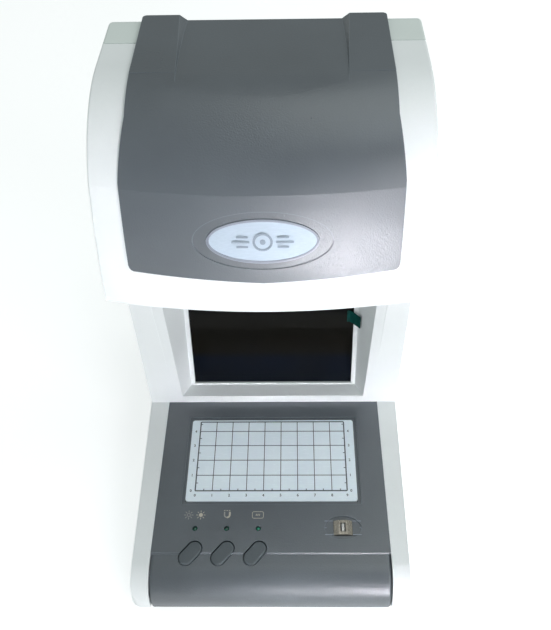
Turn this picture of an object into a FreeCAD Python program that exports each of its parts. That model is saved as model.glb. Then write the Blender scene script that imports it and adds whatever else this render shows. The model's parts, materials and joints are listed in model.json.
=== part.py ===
import FreeCAD, Part
import math
import os
import re
import Sketcher
from FreeCAD import Placement, Rotation, Vector

# Desk-top banknote viewer: a base with a lit window, three keys and a magnetic head,
# and a tower whose hood holds an ultraviolet lamp and an infrared camera over the window.
# Millimetres, +X to the right, +Y to the back, +Z up, origin under the middle of the feet.

doc = FreeCAD.newDocument("banknote_viewer")

DIMENSIONS = [
    # the whole object
    ("total_width", 155.4, "outside width of tower and base"),
    ("total_depth", 210.0, "nose to back"),
    ("shell_wall", 2.5, "moulded wall"),
    ("seam_depth", 78.0, "plane between front and rear shells"),
    ("seam_groove", 0.5, "depth of the groove along that plane"),
    ("seam_groove_width", 0.8, "groove along that plane"),
    ("fit_gap", 0.2, "clearance round loose pieces"),
    # base
    ("foot_height", 5.0, "rubber foot"),
    ("foot_radius", 7.0, "rubber foot"),
    ("foot_place_across", 60.0, "foot centre from the middle"),
    ("foot_place_deep", 88.0, "foot centre from the middle"),
    ("deck_height", 26.0, "working surface above the table"),
    ("deck_width", 132.4, "dark deck"),
    ("deck_back", 16.0, "back edge of the deck"),
    ("deck_step_place", -83.3, "line where the nose starts"),
    ("deck_step", 0.8, "drop at that line"),
    ("nose_radius", 17.0, "rounded front edge"),
    ("cheek_radius", 17.0, "rounded front edge of the base sides"),
    ("base_front_width", 151.4, "the base narrows to the front at deck height"),
    ("base_hem_width", 154.8, "front of the base at its lower edge"),
    ("base_corner", 6.0, "front corners of the base in plan"),
    ("plate_thickness", 2.5, "bottom plate"),
    # lit window
    ("window_width", 99.8, "milky panel"),
    ("window_front", -52.1, "front edge of the panel"),
    ("window_back", 2.5, "back edge of the panel"),
    ("window_drop", 0.35, "panel below the deck"),
    ("window_thickness", 2.0, "panel"),
    ("window_corner", 1.5, "panel corner"),
    ("window_margin", 2.0, "sunk border round the panel"),
    ("window_margin_drop", 0.8, "depth of that border"),
    ("guide_thickness", 4.0, "light guide"),
    ("board_thickness", 1.6, "printed boards"),
    # keys
    ("key_pitch", 17.9, "between key centres"),
    ("key_first", -44.35, "leftmost key"),
    ("key_place", -82.9, "key centres"),
    ("key_length", 15.1, "slanted stadium, end to end"),
    ("key_width", 8.3, "slanted stadium"),
    ("key_slant", 50.0, "degrees from the width axis"),
    ("key_gap", 0.4, "between key and deck"),
    ("key_rise", 0.9, "key above the nose surface"),
    ("key_travel", 1.0, "press depth"),
    ("key_flange", 1.0, "wider lip under the deck"),
    ("key_dome", 1.0, "softened key edge"),
    ("lamp_place", -68.7, "row of indicator lamps"),
    ("lamp_radius", 1.5, "indicator lamp"),
    # magnetic head
    ("head_across", 40.6, "head centre"),
    ("head_place", -68.4, "head centre"),
    ("head_width", 10.4, "metal can"),
    ("head_depth", 8.4, "metal can"),
    ("head_rise", 0.9, "can above the deck"),
    ("head_dish_width", 20.8, "shallow oval dish round the can"),
    ("head_dish_reach", 13.9, "the dish from front to back"),
    ("head_dish_depth", 0.7, "depth of the dish"),
    ("head_slot_width", 3.0, "window in the can"),
    ("head_slot_depth", 5.2, "window in the can"),
    # tower
    ("face_foot", 16.0, "foot of the tower face"),
    ("face_top", 21.5, "tower face at the rim"),
    ("rim_height", 153.8, "lower edge of the hood"),
    ("rim_band", 4.5, "turned-in band at the rim"),
    ("rim_front", -18.7, "hood front at the rim, on the middle line"),
    ("crease_front", -0.9, "hood crease on the middle line"),
    ("crease_height", 212.0, "hood crease"),
    ("crease_lean", 28.1, "degrees, the crease's outward direction above level"),
    ("face_radius", 205.0, "side view of the hood front"),
    ("top_start", 50.6, "where the flat top starts"),
    ("top_height", 240.0, "top of the white shells"),
    ("bow_radius", 400.0, "plan view of the hood front"),
    ("hood_edge", 1.5, "softened long edges of the hood"),
    ("back_corner", 8.0, "rounded back corners"),
    # dark cover
    ("cover_width", 121.0, "cover on the flat top"),
    ("cover_flare_width", 126.8, "cover at the crease"),
    ("cover_flare_start", 27.0, "where the flare starts"),
    ("cover_flare_end", 5.0, "where the flare ends"),
    ("cover_foot_width", 123.8, "cover at its lower corners"),
    ("cover_side_foot", 175.8, "lower corners of the cover"),
    ("cover_toe_width", 125.2, "cover between its rounded lower corners"),
    ("cover_toe_corner", 2.6, "rounded lower corners of the cover"),
    ("cover_apex", 172.8, "lowest point of the cover"),
    ("cover_rise", 1.2, "cover above the white shells"),
    ("cover_seat", 1.4, "seat sunk in the white shells"),
    ("cover_gap", 0.25, "gap round the cover"),
    ("cover_back", 101.5, "back end of the cover"),
    ("cover_corner", 2.2, "rounded back corners of the cover"),
    ("rib_start", 50.6, "where the ribs start to rise"),
    ("channel_start", 33.0, "where the channel between the ribs starts, on the brow"),
    ("rib_rise", 0.8, "ribs above the cover at the back"),
    ("channel_drop", 2.1, "channel below the cover at the back"),
    ("channel_foot", 38.4, "half width of the channel floor"),
    ("channel_shoulder", 42.2, "half width of the channel mouth at the back"),
    # badge
    ("badge_height", 192.7, "badge centre"),
    ("badge_front", -9.05, "badge centre"),
    ("badge_lean", 17.5, "degrees from upright"),
    ("badge_length", 48.4, "silver plate"),
    ("badge_width", 18.9, "silver plate"),
    ("badge_border", 1.2, "bezel round the plate"),
    ("badge_field", 63.4, "shallow oval field"),
    ("badge_field_width", 27.8, "shallow oval field"),
    # screen
    ("screen_width", 99.6, "visible glass"),
    ("screen_length", 70.0, "visible glass along the slope"),
    ("screen_tilt", 15.0, "degrees from upright"),
    ("screen_front", 25.7, "lower edge of the glass"),
    ("screen_foot", 33.0, "lower edge of the glass"),
    ("screen_lip", 2.5, "frame beside and above the glass"),
    ("screen_sill", 1.0, "frame below the glass"),
    ("recess_foot_width", 115.0, "mouth of the screen recess"),
    ("recess_head_width", 123.4, "mouth of the screen recess"),
    ("recess_foot", 32.4, "mouth of the screen recess"),
    ("recess_head", 128.0, "mouth of the screen recess"),
    ("tray_wall", 2.2, "recess wall"),
    ("lip_thickness", 1.5, "plate in front of the glass"),
    ("glass_thickness", 1.5, "cover glass"),
    ("cell_thickness", 1.8, "display cell"),
    ("backlight_thickness", 3.2, "display backlight"),
    ("ridge_width", 5.4, "bevel beside the recess"),
    ("ridge_depth", 2.4, "bevel at its upper end"),
    ("ridge_foot", 52.0, "where the bevel dies out"),
    # inside the hood
    ("floor_height", 163.0, "panel under the hood"),
    ("floor_thickness", 2.0, "panel under the hood"),
    ("tube_radius", 7.8, "ultraviolet tube"),
    ("tube_glass", 122.0, "glass length"),
    ("tube_cap", 6.0, "metal end cap"),
    ("tube_front", 2.6, "tube centre"),
    ("tube_height", 174.2, "tube centre"),
    ("camera_front", 20.6, "camera centre"),
    ("camera_height", 181.0, "camera centre"),
    ("camera_tilt", 15.5, "degrees, looks forward and down"),
    ("lens_radius", 4.2, "camera lens barrel"),
    ("infrared_row", 15.7, "infrared lamps"),
    ("infrared_radius", 2.4, "infrared lamp"),
    # back
    ("vent_length", 64.0, "vent slots"),
    ("vent_gap", 2.4, "vent slots"),
    ("vent_pitch", 6.0, "between vent slots"),
    ("vent_height", 182.0, "lowest vent slot"),
    ("bottom_vent_place", 40.0, "first vent slot of the bottom plate"),
    ("inlet_across", -46.0, "power inlet centre"),
    ("inlet_height", 15.0, "power inlet centre"),
    ("inlet_bore", 3.2, "inlet socket radius"),
    ("inlet_pin", 1.05, "inlet pin radius"),
    ("switch_across", 40.0, "power switch centre"),
    ("switch_height", 15.0, "power switch centre"),
    ("rocker_length", 17.0, "rocker"),
    ("rocker_width", 10.0, "rocker"),
    ("rocker_swing", 10.0, "degrees either side of level"),
    ("rocker_pivot", 99.6, "rocker axis"),
    ("trunnion_radius", 1.2, "rocker axis"),
    ("screw_shank", 1.5, "tapping screws"),
    ("screw_head", 2.9, "tapping screws"),
    ("tower_screw_across", 65.0, "tower screws from the middle"),
    ("tower_screw_low", 62.0, "lower tower screws"),
    ("tower_screw_high", 196.0, "upper tower screws"),
    ("post_radius", 4.2, "screw posts"),
]

dims = doc.addObject("Spreadsheet::Sheet", "Dims")
for row, (alias, size, note) in enumerate(DIMENSIONS, start=1):
    dims.set(f"A{row}", alias)
    dims.set(f"B{row}", str(size))
    dims.set(f"C{row}", note)
    dims.setAlias(f"B{row}", alias)
doc.recompute()

ALIASES = {alias for alias, size, note in DIMENSIONS}
PLANES = {
    "XY": (Rotation(), "z", Vector(0, 0, 1)),
    "XZ": (Rotation(Vector(1, 0, 0), Vector(0, 0, 1), Vector(0, -1, 0), "ZXY"), "y", Vector(0, 1, 0)),
    "YZ": (Rotation(Vector(0, 1, 0), Vector(0, 0, 1), Vector(1, 0, 0), "ZXY"), "x", Vector(1, 0, 0)),
}
AXES = {
    "x": Rotation(Vector(0, 1, 0), 90),
    "y": Rotation(Vector(1, 0, 0), -90),
    "z": Rotation(),
}
nodes = {}


# ---- small helpers -------------------------------------------------------------------

def cell(formula):
    """A formula over the sheet's names, written the way an expression needs it."""
    def full(match):
        word = match.group(0)
        return "Dims." + word if word in ALIASES else word
    return re.sub(r"[a-z_]+", full, str(formula))


def number(formula):
    """The present value of such a formula."""
    return float(dims.evalExpression(cell(formula)))


def bind(item, **formulas):
    for prop, formula in formulas.items():
        item.setExpression(prop.replace("__", "."), cell(formula))


def node(name, item):
    """Make an object a named piece of the assembly."""
    item.Label = name
    nodes[name] = item
    return item


def box(name, x_low, x_high, y_low, y_high, z_low, z_high):
    item = doc.addObject("Part::Box", name)
    bind(item, Length=f"({x_high}) - ({x_low})", Width=f"({y_high}) - ({y_low})",
         Height=f"({z_high}) - ({z_low})", Placement__Base__x=x_low,
         Placement__Base__y=y_low, Placement__Base__z=z_low)
    return item


def slab(name, width, y_low, y_high, z_low, z_high):
    """A box centred on the middle plane."""
    return box(name, f"-({width}) / 2", f"({width}) / 2", y_low, y_high, z_low, z_high)


def rod(name, axis, radius, low, high, first, second):
    """A cylinder along an axis; first and second are its place on the other two axes."""
    item = doc.addObject("Part::Cylinder", name)
    item.Placement = Placement(Vector(), AXES[axis])
    others = [word for word in "xyz" if word != axis]
    bind(item, Radius=radius, Height=f"({high}) - ({low})")
    for word, formula in zip([axis] + others, [low, first, second]):
        bind(item, **{"Placement__Base__" + word: formula})
    return item


def arc_between(start, end, radius):
    """The arc from start to end that turns left, for outlines drawn anticlockwise."""
    along = end.sub(start)
    half = along.Length / 2
    left = Vector(-along.y, along.x, 0).normalize()
    centre = start.add(end).multiply(0.5).add(left.multiply(math.sqrt(radius ** 2 - half ** 2)))
    first = math.atan2(start.y - centre.y, start.x - centre.x)
    last = math.atan2(end.y - centre.y, end.x - centre.x)
    return Part.ArcOfCircle(Part.Circle(centre, Vector(0, 0, 1), radius), first, last)


def draw(sketch, points):
    """A closed outline; each point is across, up and, where an arc leaves it, a radius."""
    places = [Vector(number(point[0]), number(point[1]), 0) for point in points]
    for index, point in enumerate(points):
        start = places[index]
        end = places[(index + 1) % len(points)]
        if len(point) == 3:
            sketch.addGeometry(arc_between(start, end, number(point[2])))
        else:
            sketch.addGeometry(Part.LineSegment(start, end))
    for index, point in enumerate(points):
        after = (index + 1) % len(points)
        sketch.addConstraint(Sketcher.Constraint("Coincident", index, 2, after, 1))
    for index, point in enumerate(points):
        pin(sketch, "DistanceX", index, places[index].x, point[0])
        pin(sketch, "DistanceY", index, places[index].y, point[1])
        if len(point) == 3:
            row = sketch.addConstraint(Sketcher.Constraint("Radius", index, number(point[2])))
            sketch.setExpression(f"Constraints[{row}]", cell(point[2]))


def pin(sketch, kind, index, size, formula):
    row = sketch.addConstraint(Sketcher.Constraint(kind, index, 1, size))
    sketch.setExpression(f"Constraints[{row}]", cell(formula))


def outline(name, plane, points, level="0"):
    sketch = doc.addObject("Sketcher::SketchObject", name)
    turn, axis, normal = PLANES[plane]
    sketch.Placement = Placement(Vector(), turn)
    draw(sketch, points)
    sketch.setExpression("Placement.Base." + axis, cell(level))
    return sketch


def prism(name, plane, points, low, high):
    """An outline drawn on a plane and carried from low to high along that plane's axis."""
    item = doc.addObject("Part::Extrusion", name)
    item.Base = outline(name + "_outline", plane, points, low)
    item.DirMode = "Custom"
    item.Dir = PLANES[plane][2]
    item.Solid = True
    bind(item, LengthFwd=f"({high}) - ({low})")
    return item


def loft(name, *sections):
    item = doc.addObject("Part::Loft", name)
    item.Sections = list(sections)
    item.Solid = True
    item.Ruled = True
    return item


def fuse(name, *items):
    item = doc.addObject("Part::MultiFuse", name)
    item.Shapes = list(items)
    return item


def overlap(name, *items):
    item = doc.addObject("Part::MultiCommon", name)
    item.Shapes = list(items)
    return item


def cut(name, base, *tools):
    item = doc.addObject("Part::Cut", name)
    item.Base = base
    item.Tool = tools[0] if len(tools) == 1 else group(name + "_tools", *tools)
    return item


def group(name, *items):
    item = doc.addObject("Part::Compound", name)
    item.Links = list(items)
    return item


def mirrored(name, source):
    item = doc.addObject("Part::Mirroring", name)
    item.Source = source
    item.Normal = Vector(1, 0, 0)
    return item


def rounded(name, base, radius, test):
    """Round the edges of base for which test(edge) is true."""
    doc.recompute()
    item = doc.addObject("Part::Fillet", name)
    item.Base = base
    size = number(radius)
    chosen = [index for index, edge in enumerate(base.Shape.Edges, start=1) if test(edge)]
    item.Edges = [(index, size, size) for index in chosen]
    return item


def runs_along(edge, axis):
    """True for a straight edge that is parallel to an axis."""
    if not isinstance(edge.Curve, Part.Line):
        return False
    return abs(abs(edge.Curve.Direction.dot(axis)) - 1) < 1e-6


def middle(edge):
    return edge.CenterOfMass


def body(name):
    return doc.addObject("PartDesign::Body", name)


def body_sketch(owner, name, plane, points, level="0"):
    """A sketch on one of the body's own planes, moved along that plane's normal."""
    sketch = owner.newObject("Sketcher::SketchObject", name)
    roles = {feature.Role: feature for feature in owner.Origin.OriginFeatures}
    sketch.AttachmentSupport = [(roles[plane + "_Plane"], "")]
    sketch.MapMode = "FlatFace"
    sign = "-" if plane == "XZ" else ""
    sketch.setExpression("AttachmentOffset.Base.z", cell(f"{sign}({level})"))
    draw(sketch, points)
    return sketch


def pad(owner, name, plane, points, low, high):
    """Add material between two levels along the plane's axis."""
    item = owner.newObject("PartDesign::Pad", name)
    item.Profile = body_sketch(owner, name + "_outline", plane, points, low)
    item.Reversed = plane == "XZ"
    bind(item, Length=f"({high}) - ({low})")
    return item


def pocket(owner, name, plane, points, low, high):
    """Take material away between two levels along the plane's axis."""
    item = owner.newObject("PartDesign::Pocket", name)
    item.Profile = body_sketch(owner, name + "_outline", plane, points, low)
    item.Reversed = plane != "XZ"
    bind(item, Length=f"({high}) - ({low})")
    return item


def soften(owner, name, feature, radius, test):
    """A PartDesign fillet on the edges of a feature for which test(edge) is true."""
    doc.recompute()
    edges = feature.Shape.Edges
    chosen = [f"Edge{index}" for index, edge in enumerate(edges, start=1) if test(edge)]
    item = owner.newObject("PartDesign::Fillet", name)
    item.Base = (feature, chosen)
    bind(item, Radius=radius)
    return item


def rectangle(x_low, x_high, y_low, y_high):
    return [(x_low, y_low), (x_high, y_low), (x_high, y_high), (x_low, y_high)]


def centred(width, y_low, y_high):
    return rectangle(f"-({width}) / 2", f"({width}) / 2", y_low, y_high)


# ---- hood surfaces -------------------------------------------------------------------

BROW_RISE = "(top_height - crease_height)"
BROW_RADIUS = f"(((top_start - crease_front)^2 + {BROW_RISE}^2) / (2 * {BROW_RISE}))"


def hood_layer(name, inset, foot):
    """The hood as a solid whose outside lies inset behind the white shells' outside.

    Its side view is turned about an upright axis far behind, which bows the front.
    """
    back = "total_depth / 2 + 5"
    points = [
        (f"rim_front + 1 + ({inset})", foot),
        (back, foot),
        (back, f"top_height - ({inset})"),
        ("top_start", f"top_height - ({inset})", f"{BROW_RADIUS} - ({inset})"),
        (f"crease_front + ({inset}) * cos(crease_lean * 1 deg)",
         f"crease_height - ({inset}) * sin(crease_lean * 1 deg)",
         f"face_radius - ({inset})"),
        (f"rim_front + ({inset})", "rim_height + rim_band"),
    ]
    item = doc.addObject("Part::Revolution", name)
    item.Source = outline(name + "_side", "YZ", points)
    item.Axis = Vector(0, 0, 1)
    item.Solid = True
    item.Symmetric = True
    item.Angle = 30
    bind(item, Base__y="rim_front + bow_radius")
    return item


def back_corners(side, back):
    """The two rounded back corners of the cover's plan, from right to left."""
    return [(side, f"{back} - cover_corner", "cover_corner"), (f"{side} - cover_corner", back),
            (f"-({side}) + cover_corner", back, "cover_corner"), (f"-({side})", f"{back} - cover_corner")]


def cover_field(name, gap):
    """The column of space, seen from above and from the front, that the cover fills."""
    flare = f"cover_flare_width / 2 + ({gap})"
    foot = f"cover_foot_width / 2 + ({gap})"
    side = f"cover_width / 2 + ({gap})"
    back = f"cover_back + ({gap})"
    plan = [
        (f"-({foot})", "rim_front - 12"), (foot, "rim_front - 12"),
        (flare, "cover_flare_end"), (side, "cover_flare_start"),
        *back_corners(side, back),
        (f"-({side})", "cover_flare_start"), (f"-({flare})", "cover_flare_end"),
    ]
    return overlap(name,
                   prism(name + "_plan", "XY", plan, "rim_height", "top_height + 20"),
                   prism(name + "_front", "XZ", cover_face(gap), "rim_front - 15",
                         "total_depth / 2 + 10"))


def cover_face(gap):
    """The cover seen from the front: a shallow vee below, with rounded lower corners."""
    toe = f"(cover_toe_width / 2 + ({gap}))"
    turn = f"({toe} - cover_toe_corner)"
    climb = "(2 * (cover_side_foot - cover_apex) / cover_foot_width)"
    low = f"(cover_apex + {climb} * {turn} - ({gap}))"
    shoulder = f"({low} + cover_toe_corner)"
    return [
        ("-cover_width", shoulder), (f"-{toe}", shoulder, "cover_toe_corner"), (f"-{turn}", low),
        ("0", f"cover_apex - ({gap})"), (turn, low, "cover_toe_corner"), (toe, shoulder),
        ("cover_width", shoulder), ("cover_width", "top_height + 20"), ("-cover_width", "top_height + 20"),
    ]


def hood_block(name, inset, foot):
    """The part of a hood layer between the side walls and in front of the seam."""
    return overlap(name, hood_layer(name + "_layer", inset, foot),
                   slab(name + "_room", f"total_width - 2 * ({inset})", "rim_front - 10",
                        "seam_depth", foot, "top_height + 5"))


# ---- screen frame --------------------------------------------------------------------

SLOPE_DEEP = "sin(screen_tilt * 1 deg)"
SLOPE_UP = "cos(screen_tilt * 1 deg)"


def screen_plate(name, x_low, x_high, up_low, up_high, deep_low, deep_high):
    """A plate parallel to the screen: up along the slope, deep behind the lip's front."""
    item = doc.addObject("Part::Box", name)
    item.Placement = Placement(Vector(), Rotation(Vector(1, 0, 0), -number("screen_tilt")))
    bind(item, Length=f"({x_high}) - ({x_low})", Width=f"({deep_high}) - ({deep_low})",
         Height=f"({up_high}) - ({up_low})", Placement__Base__x=x_low,
         Placement__Base__y=f"screen_front + ({up_low}) * {SLOPE_DEEP} + ({deep_low}) * {SLOPE_UP}",
         Placement__Base__z=f"screen_foot + ({up_low}) * {SLOPE_UP} - ({deep_low}) * {SLOPE_DEEP}")
    return item


def screen_sheet(name, width, up_low, up_high, deep_low, deep_high):
    return screen_plate(name, f"-({width}) / 2", f"({width}) / 2", up_low, up_high,
                        deep_low, deep_high)


def recess(name, grow, deep):
    """The flared space in front of the screen, grown all round and taken past the lip."""
    mouth = [
        (f"-recess_foot_width / 2 - ({grow})", f"recess_foot - ({grow})"),
        (f"recess_foot_width / 2 + ({grow})", f"recess_foot - ({grow})"),
        (f"recess_head_width / 2 + ({grow})", f"recess_head + ({grow})"),
        (f"-recess_head_width / 2 - ({grow})", f"recess_head + ({grow})"),
    ]
    side = f"(screen_width / 2 + screen_lip + ({grow}))"
    low = f"(-screen_sill - ({grow}))"
    high = f"(screen_length + screen_lip + ({grow}))"
    floor = outline(name + "_floor", "XZ", [
        (f"-{side}", f"{low}"), (side, low), (side, high), (f"-{side}", high)])
    floor.Placement = Placement(Vector(), Rotation(Vector(1, 0, 0), 90 - number("screen_tilt")))
    floor.setExpression("Placement.Base.y", cell(f"screen_front + ({deep}) * {SLOPE_UP}"))
    floor.setExpression("Placement.Base.z", cell(f"screen_foot - ({deep}) * {SLOPE_DEEP}"))
    return loft(name, outline(name + "_mouth", "XZ", mouth, "face_foot - 0.5"), floor)


# ---- white shells --------------------------------------------------------------------

def tower_side(inset, foot, head):
    """Side view of the tower in front of the seam."""
    return [(f"face_foot + ({inset})", foot), ("seam_depth", foot), ("seam_depth", head),
            (f"face_top + ({inset})", head)]


def ridge_cut(name):
    """The long bevel beside the recess, which dies out towards the base."""
    across = "recess_head_width / 2"
    head = outline(name + "_head", "XY", [
        (f"{across} - 2", "face_top - 3"), (f"{across} + ridge_width", "face_top - 3"),
        (f"{across} + ridge_width", "face_top"), (f"{across} - 2", "face_top + ridge_depth")],
        "rim_height + 4")
    low = "recess_foot_width / 2"
    foot = outline(name + "_foot", "XY", [
        (f"{low} - 2", "face_foot - 3"), (f"{low} + ridge_width", "face_foot - 3"),
        (f"{low} + ridge_width", "face_foot + 1"), (f"{low} - 2", "face_foot + 1.1")],
        "ridge_foot")
    return loft(name, head, foot)


TOWER_LEVELS = ("tower_screw_low", "tower_screw_high")


def rear_posts(name, radius, low, high):
    """Four rods from front to back at the tower's screw places."""
    rods = []
    for side in (-1, 1):
        for level in TOWER_LEVELS:
            rods.append(rod(f"{name}_{side + 1}_{level}", "y", radius, low, high,
                            f"{side} * tower_screw_across", level))
    return rods


def post_webs(name, low, high):
    """Flat webs that tie the screw posts to the side walls."""
    webs = []
    for side in (-1, 1):
        for level in TOWER_LEVELS:
            inner = "tower_screw_across" if side > 0 else "-total_width / 2 + 1"
            outer = "total_width / 2 - 1" if side > 0 else "-tower_screw_across"
            webs.append(box(f"{name}_{side + 1}_{level}", inner, outer, low, high,
                            f"{level} - 1", f"{level} + 1"))
    return webs


def front_shell():
    half = "total_width / 2"
    tower = prism("tower_block", "YZ", tower_side("0", "deck_height", "rim_height + 12"),
                  f"-{half}", half)
    outside = fuse("front_outside", tower, hood_block("hood_outside", "0", "rim_height"))
    outside = rounded("front_softened", outside, "hood_edge", is_hood_edge)
    hollow = prism("tower_hollow", "YZ",
                   tower_side("shell_wall", "deck_height - 1", "rim_height + 20"),
                   f"-{half} + shell_wall", f"{half} - shell_wall")
    hood_hollow = hood_block("hood_hollow", "shell_wall", "rim_height - 2")
    wall = prism("tower_face_wall", "YZ", [
        ("face_foot", "deck_height"), ("face_foot + shell_wall", "deck_height"),
        ("face_top + shell_wall", "floor_height"), ("face_top", "floor_height")],
        f"-{half} + 1", f"{half} - 1")
    shell = cut("front_hollowed", outside, hollow, hood_hollow)
    tray = overlap("tray_inside", tower, recess("tray", "tray_wall", "lip_thickness"))
    shell = fuse("front_filled", shell, wall, tray,
                 *rear_posts("front_post", "post_radius", "60", "seam_depth - 0.1"),
                 *post_webs("front_web", "60", "seam_depth - 0.1"))
    seat = overlap("front_seat", cover_field("front_seat_field", "cover_gap"),
                   cut("front_seat_layer",
                       slab("front_seat_room", "total_width", "rim_front - 12",
                            "seam_depth + 1", "rim_height + 8", "top_height + 4"),
                       hood_layer("front_seat_floor", "cover_seat", "rim_height - 4")))
    shell = cut("front_shell", shell, seat,
                recess("tray_space", "0", "0"),
                screen_sheet("glass_opening", "screen_width", "0", "screen_length", "-1",
                             "lip_thickness + 20"),
                ridge_cut("ridge_right"), mirrored("ridge_left", doc.getObject("ridge_right")),
                *rear_posts("front_pilot", "screw_shank - 0.05", "64", "seam_depth + 1"))
    return node("front_shell", shell)


def is_hood_edge(edge):
    """Long outer edges of the hood, on the side planes and above the rim."""
    place = middle(edge)
    on_side = abs(abs(place.x) - number("total_width / 2")) < 0.01
    high = place.z > number("rim_height") + 6
    return on_side and high and place.y < number("seam_depth") - 0.1


VENT_ROWS = 7
BOTTOM_VENT_ROWS = 6


def rear_moulding():
    owner = body("rear_moulding")
    half = "total_width / 2"
    back = "total_depth / 2"
    block = pad(owner, "rear_block", "XY", rectangle(f"-{half}", half, "seam_depth", back),
                "deck_height", "top_height")
    edges = soften(owner, "rear_corners", block, "back_corner",
                   lambda edge: middle(edge).y > number(back) - 0.1
                   and middle(edge).z > number("deck_height") + 1)
    top = soften(owner, "rear_top_edges", edges, "hood_edge",
                 lambda edge: abs(middle(edge).z - number("top_height")) < 0.1
                 and runs_along(edge, Vector(0, 1, 0)))
    hollow = pocket(owner, "rear_hollow", "XZ",
                    rectangle(f"-{half} + shell_wall", f"{half} - shell_wall",
                              "deck_height - 1", "top_height - shell_wall"),
                    "seam_depth - 1", f"{back} - shell_wall")
    side = "cover_width / 2 + cover_gap"
    seat = pocket(owner, "rear_seat", "XY",
                  [(f"-({side})", "seam_depth - 1"), (side, "seam_depth - 1"),
                   *back_corners(side, "cover_back + cover_gap")],
                  "top_height - cover_seat", "top_height + 5")
    slot = pocket(owner, "vent_slot", "XZ", centred("vent_length", "vent_height", "vent_height + vent_gap"),
                  f"{back} - 6", f"{back} + 1")
    doc.recompute()
    vents = owner.newObject("PartDesign::LinearPattern", "vent_row")
    vents.Originals = [slot]
    vents.Direction = (slot.Profile[0], ["V_Axis"])
    bind(vents, Length=f"{VENT_ROWS - 1} * vent_pitch")
    vents.Occurrences = VENT_ROWS
    owner.Tip = vents
    return vents


def rear_shell():
    """The rear shell with its screw posts added and the screw holes cut."""
    moulded = rear_moulding()
    posts = rear_posts("rear_post", "post_radius", "seam_depth + 0.1", "total_depth / 2 - 1")
    joined = fuse("rear_with_posts", moulded, *posts,
                  *post_webs("rear_web", "seam_depth + 0.1", "total_depth / 2 - 1"))
    shell = cut("rear_shell", joined,
                seam_groove(),
                *rear_posts("rear_hole", "screw_shank + fit_gap", "seam_depth - 1", "total_depth / 2 + 1"),
                *rear_posts("rear_sink", "screw_head + 2 * fit_gap", "total_depth / 2 - 4",
                            "total_depth / 2 + 1"))
    return node("rear_shell", shell)


def seam_groove():
    """A groove round the outside of the rear shell, where it meets the front shell."""
    band = slab("seam_band", "total_width + 2", "seam_depth - 1", "seam_depth + seam_groove_width",
                "deck_height - 1", "top_height + 2")
    core = slab("seam_core", "total_width - 2 * seam_groove", "seam_depth - 2", "seam_depth + 3",
                "deck_height - 2", "top_height - seam_groove")
    return cut("seam_groove", band, core)


def base_plan(inset, front_width):
    side = f"(total_width / 2 - ({inset}))"
    back = f"(total_depth / 2 - ({inset}))"
    front = f"({front_width} / 2 - ({inset}))"
    nose = f"(-total_depth / 2 + ({inset}))"
    corner = f"(base_corner - ({inset}) * 0.6)"
    return [(f"-{front} + {corner}", nose), (f"{front} - {corner}", nose, corner),
            (front, f"{nose} + {corner}"), (side, "deck_back"), (side, back),
            (f"-{side}", back), (f"-{side}", "deck_back"),
            (f"-{front}", f"{nose} + {corner}", corner)]


def base_loft(name, inset, low, high):
    """The base between two levels; its sides lean in towards the deck."""
    return loft(name, outline(name + "_hem", "XY", base_plan(inset, "base_hem_width"), low),
                outline(name + "_top", "XY", base_plan(inset, "base_front_width"), high))


def nose_side(rise, radius, foot):
    """Side view of the base front, from the nose to behind the deck."""
    top = f"(deck_height - ({rise}))"
    return [(f"-total_depth / 2", foot), ("deck_back", foot), ("deck_back", top),
            (f"-total_depth / 2 + ({radius})", top, radius),
            ("-total_depth / 2", f"{top} - ({radius})")]


BASE_POSTS = [("cheek", 71.1, -62), ("middle", 71.1, 12), ("tail", 71.1, 96)]


def base_posts(name, radius, low, high):
    return [rod(f"{name}_{spot}_{side + 1}", "z", radius, low, high, side * across, deep)
            for spot, across, deep in BASE_POSTS for side in (-1, 1)]


def base_shell():
    half = "total_width / 2"
    block = base_loft("base_block", "0", "foot_height", "deck_height")
    nose = prism("base_nose", "YZ", nose_side("0", "cheek_radius", "foot_height"),
                 f"-{half}", half)
    tail = slab("base_tail", "total_width", "deck_back - 1", "total_depth / 2", "foot_height",
                "deck_height")
    outside = overlap("base_outside", block, fuse("base_side_view", nose, tail))
    hollow_plan = base_loft("base_hollow_plan", "shell_wall", "foot_height - 1",
                            "deck_height - shell_wall")
    hollow_side = fuse("base_hollow_side",
                       prism("base_hollow_nose", "YZ",
                             nose_side("shell_wall", "cheek_radius", "foot_height - 1"),
                             f"-{half}", half),
                       slab("base_hollow_tail", "total_width", "deck_back - 1",
                            "total_depth / 2", "foot_height - 1", "deck_height - shell_wall"))
    hollow = overlap("base_hollow", hollow_plan, hollow_side)
    posts = fuse("base_posts", *base_posts("base_post", "post_radius", "foot_height + plate_thickness + 0.1",
                                           "deck_height - 1"))
    shell = fuse("base_with_posts", cut("base_hollowed", outside, hollow),
                 overlap("base_posts_inside", posts, block))
    openings = [
        slab("deck_opening", "deck_width + fit_gap", "-total_depth", "deck_back + 0.1",
             "0", "deck_height + 1"),
        slab("wire_opening", "total_width - 24", "deck_back + 8", "seam_depth", "deck_height - 5",
             "deck_height + 1"),
        box("inlet_opening", "inlet_across - 5.1", "inlet_across + 5.1", "total_depth / 2 - 6",
            "total_depth / 2 + 1", "inlet_height - 6.1", "inlet_height + 6.1"),
        box("switch_opening", "switch_across - rocker_length / 2 - 2.3",
            "switch_across + rocker_length / 2 + 2.3", "total_depth / 2 - 6",
            "total_depth / 2 + 1", "switch_height - rocker_width / 2 - 1.9",
            "switch_height + rocker_width / 2 + 1.9"),
    ]
    shell = cut("base_shell", shell, *openings,
                *base_posts("base_pilot", "screw_shank - 0.05", "foot_height", "deck_height - 6"))
    return node("base_shell", shell)


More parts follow.
